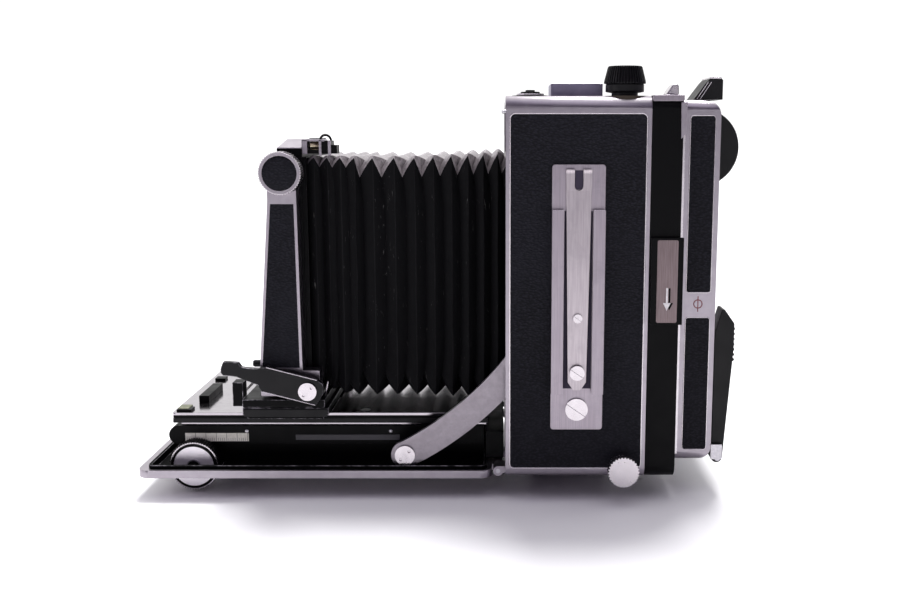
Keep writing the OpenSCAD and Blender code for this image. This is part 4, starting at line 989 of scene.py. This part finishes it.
def film_plane_marks():
    low, high = box_mm("film_back")
    mark_x = (low.x + high.x) / 2 + 0.2
    mark_z = low.z + FILM_MARK_RISE
    for side, y, out in (("near", low.y, -1), ("far", high.y, 1)):
        turned_piece(f"film_plane_ring_{side}", "back", RED_FILL,
                     [(1.5, -0.05), (1.5, 0.05), (1.95, 0.05), (1.95, -0.05), (1.5, -0.05)],
                     (mark_x, y, mark_z), (0, out, 0), 48)
        box_piece(f"film_plane_line_{side}", "back", RED_FILL,
                  (mark_x - 0.2, min(y, y + out * 0.06), mark_z - 3.3),
                  (mark_x + 0.2, max(y, y + out * 0.06), mark_z + 3.3), 0)


def back_beads():
    """Raised lines round the two skins on each side of the film back."""
    low, high = box_mm("film_back")
    skin_low, skin_high = box_mm("back_leathers")
    spans = ((skin_low.z, low.z + LOWER_SKIN_TOP), (low.z + UPPER_SKIN_FOOT, skin_high.z))
    for side, y in (("near", low.y), ("far", high.y)):
        for number, (z0, z1) in enumerate(spans):
            bead(f"back_bead_{side}_{number + 1}", "back",
                 rounded_path(skin_low.x, skin_high.x, z0, z1, 1.2, y), 0.2)


def back_top():
    """Bare band along the top of the back frame, the catch on it and a hook on each side."""
    low, high = box_mm("back_frame")
    x0 = high.x - BAND_WIDTH
    box_piece("back_top_band", "back", BRUSHED,
              (x0, low.y - 0.12, high.z - 2.1), (high.x + 0.1, high.y + 0.12, high.z + 0.2), 0.15)
    base_top = high.z + 1.2
    box_piece("back_catch_base", "back", SATIN,
              (x0 + 8.0, CATCH_Y - 6, high.z), (high.x + 1.6, CATCH_Y + 6, base_top), 0.4)
    bm = bmesh.new()
    add_prism(bm, [(x0 + 8.2, base_top), (x0 + 13.6, base_top), (x0 + 13.4, base_top + 3.7),
                   (x0 + 12.4, base_top + 4.3), (x0 + 10.9, base_top + 4.0), (x0 + 9.6, base_top + 2.2)],
              CATCH_Y - 5, CATCH_Y + 5)
    finish_mesh("back_catch", bm, "back", BRIGHT, bevel=0.5)

    hook_top = high.z - 2.6
    foot = hook_top - HOOK_LENGTH
    for side, y, out in (("near", low.y, -1), ("far", high.y, 1)):
        bm = bmesh.new()
        add_prism(bm, [(high.x - 1.2, hook_top), (high.x + 1.3, hook_top), (high.x + 1.0, foot + 2),
                       (high.x - 0.9, foot)], min(y, y + out * 0.45), max(y, y + out * 0.45))
        finish_mesh(f"back_hook_{side}", bm, "back", SATIN, bevel=0.15)


def counter_details():
    """Bright cap and two engraved lines of the wedge-shaped housing."""
    low, high = box_mm("counter_housing")
    box_piece("counter_cap", "back", BRIGHT,
              (high.x - 5.4, low.y - 0.05, high.z - 0.5), (high.x - 0.7, high.y + 0.05, high.z + 0.3), 0.25)
    for number, shift in enumerate((0.9, 2.2)):
        wire(f"counter_line_{number + 1}", "back", BRIGHT,
             [(low.x + shift + 0.5, low.y, low.z + 0.2),
              (low.x + shift + 5.2, low.y, high.z - 1.6)], 0.16)


def lever_ridges():
    low, high = box_mm("advance_lever")
    for number in range(RIDGES):
        z = high.z - 21.5 + RIDGE_PITCH * number
        wire(f"lever_ridge_{number + 1}", "advance_lever", PLASTIC,
             [(high.x - 0.35, low.y + 0.6, z), (high.x - 0.35, high.y - 0.6, z)], 0.75)


case_details()
finder_knob()
release_button()
arm_knobs()
side_spring()
side_shoe_channel()
bridge_details()
focus_details()
track_details()
bed_details()
standard_details()
slider_details()
film_plane_marks()
back_beads()
back_top()
counter_details()
lever_ridges()


# ---------------------------------------------------------------- stage, light and camera

WORLD_TONES = ((0.0, (0.125, 0.104, 0.15)), (0.5, (0.105, 0.088, 0.14)), (0.68, (0.3, 0.27, 0.4)),
               (0.84, (1.0, 1.0, 1.0)))
WORLD_RISE = 0.85
WORLD_STRENGTH = 1.1
FLOOR_HALF_SIZE = 40.0
FLOOR_GAP = 0.0002
SUN_POWER = 4.0
SUN_SPREAD = 20
SUN_TURN = (-23, 5, 0)
CAMERA_PLACE = (-0.0315, -0.488, 0.1528)
CAMERA_DROP = 9.06
CAMERA_LENS = 42.4
CAMERA_SHIFT = -0.0544


def area_light(name, at, aim, size, power, color):
    data = bpy.data.lights.new(name, "AREA")
    data.shape = "RECTANGLE"
    data.size, data.size_y = size
    data.energy = power
    data.color = color
    obj = bpy.data.objects.new(name, data)
    obj.location = at
    obj.rotation_euler = (Vector(aim) - Vector(at)).to_track_quat("-Z", "Y").to_euler()
    bpy.context.scene.collection.objects.link(obj)


def studio_world():
    """White above and behind the object, dim violet towards the viewer, as in a small light tent."""
    world = bpy.data.worlds.new("studio")
    world.use_nodes = True
    nodes = world.node_tree.nodes
    links = world.node_tree.links
    place = nodes.new("ShaderNodeTexCoord")
    split = nodes.new("ShaderNodeSeparateXYZ")
    spread = nodes.new("ShaderNodeMapRange")
    spread.inputs["From Min"].default_value = -1
    ramp = nodes.new("ShaderNodeValToRGB")
    ramp.color_ramp.elements.new(0.5)
    ramp.color_ramp.elements.new(0.62)
    for element, (at, color) in zip(ramp.color_ramp.elements, WORLD_TONES):
        element.position = at
        element.color = (*color, 1)
    links.new(place.outputs["Generated"], split.inputs[0])
    tilt = nodes.new("ShaderNodeMath")
    tilt.operation = "MULTIPLY_ADD"
    tilt.inputs[1].default_value = WORLD_RISE
    links.new(split.outputs["Z"], tilt.inputs[0])
    links.new(split.outputs["Y"], tilt.inputs[2])
    links.new(tilt.outputs[0], spread.inputs["Value"])
    links.new(spread.outputs[0], ramp.inputs["Fac"])
    links.new(ramp.outputs["Color"], nodes["Background"].inputs["Color"])
    nodes["Background"].inputs["Strength"].default_value = WORLD_STRENGTH
    bpy.context.scene.world = world


def stage():
    bm = bmesh.new()
    bmesh.ops.create_grid(bm, x_segments=4, y_segments=4, size=FLOOR_HALF_SIZE)
    mesh = bpy.data.meshes.new("floor")
    bm.to_mesh(mesh)
    bm.free()
    mesh.materials.append(floor_white().material)
    floor = bpy.data.objects.new("floor", mesh)
    floor.location.z = cad_box[0].z - FLOOR_GAP
    bpy.context.scene.collection.objects.link(floor)
    studio_world()
    data = bpy.data.lights.new("overhead", "SUN")
    data.energy = SUN_POWER
    data.angle = math.radians(SUN_SPREAD)
    sun = bpy.data.objects.new("overhead", data)
    sun.rotation_euler = [math.radians(turn) for turn in SUN_TURN]
    bpy.context.scene.collection.objects.link(sun)
    area_light("top", (0.0, -0.52, 0.88), (0.0, -0.065, 0.165), (0.7, 0.56), 1.0, (0.95, 0.9, 1.0))
    area_light("left", (-0.9, -0.35, 0.5), (-0.05, 0, 0.08), (0.5, 0.6), 1.6, (1.0, 0.95, 1.0))


def camera():
    data = bpy.data.cameras.new("camera")
    data.sensor_width = 36
    data.lens = CAMERA_LENS
    data.shift_x = CAMERA_SHIFT
    obj = bpy.data.objects.new("camera", data)
    obj.location = CAMERA_PLACE
    obj.rotation_euler = (math.radians(90 - CAMERA_DROP), 0, 0)
    bpy.context.scene.collection.objects.link(obj)
    bpy.context.scene.camera = obj


stage()
camera()
bpy.context.scene.view_settings.view_transform = "Standard"
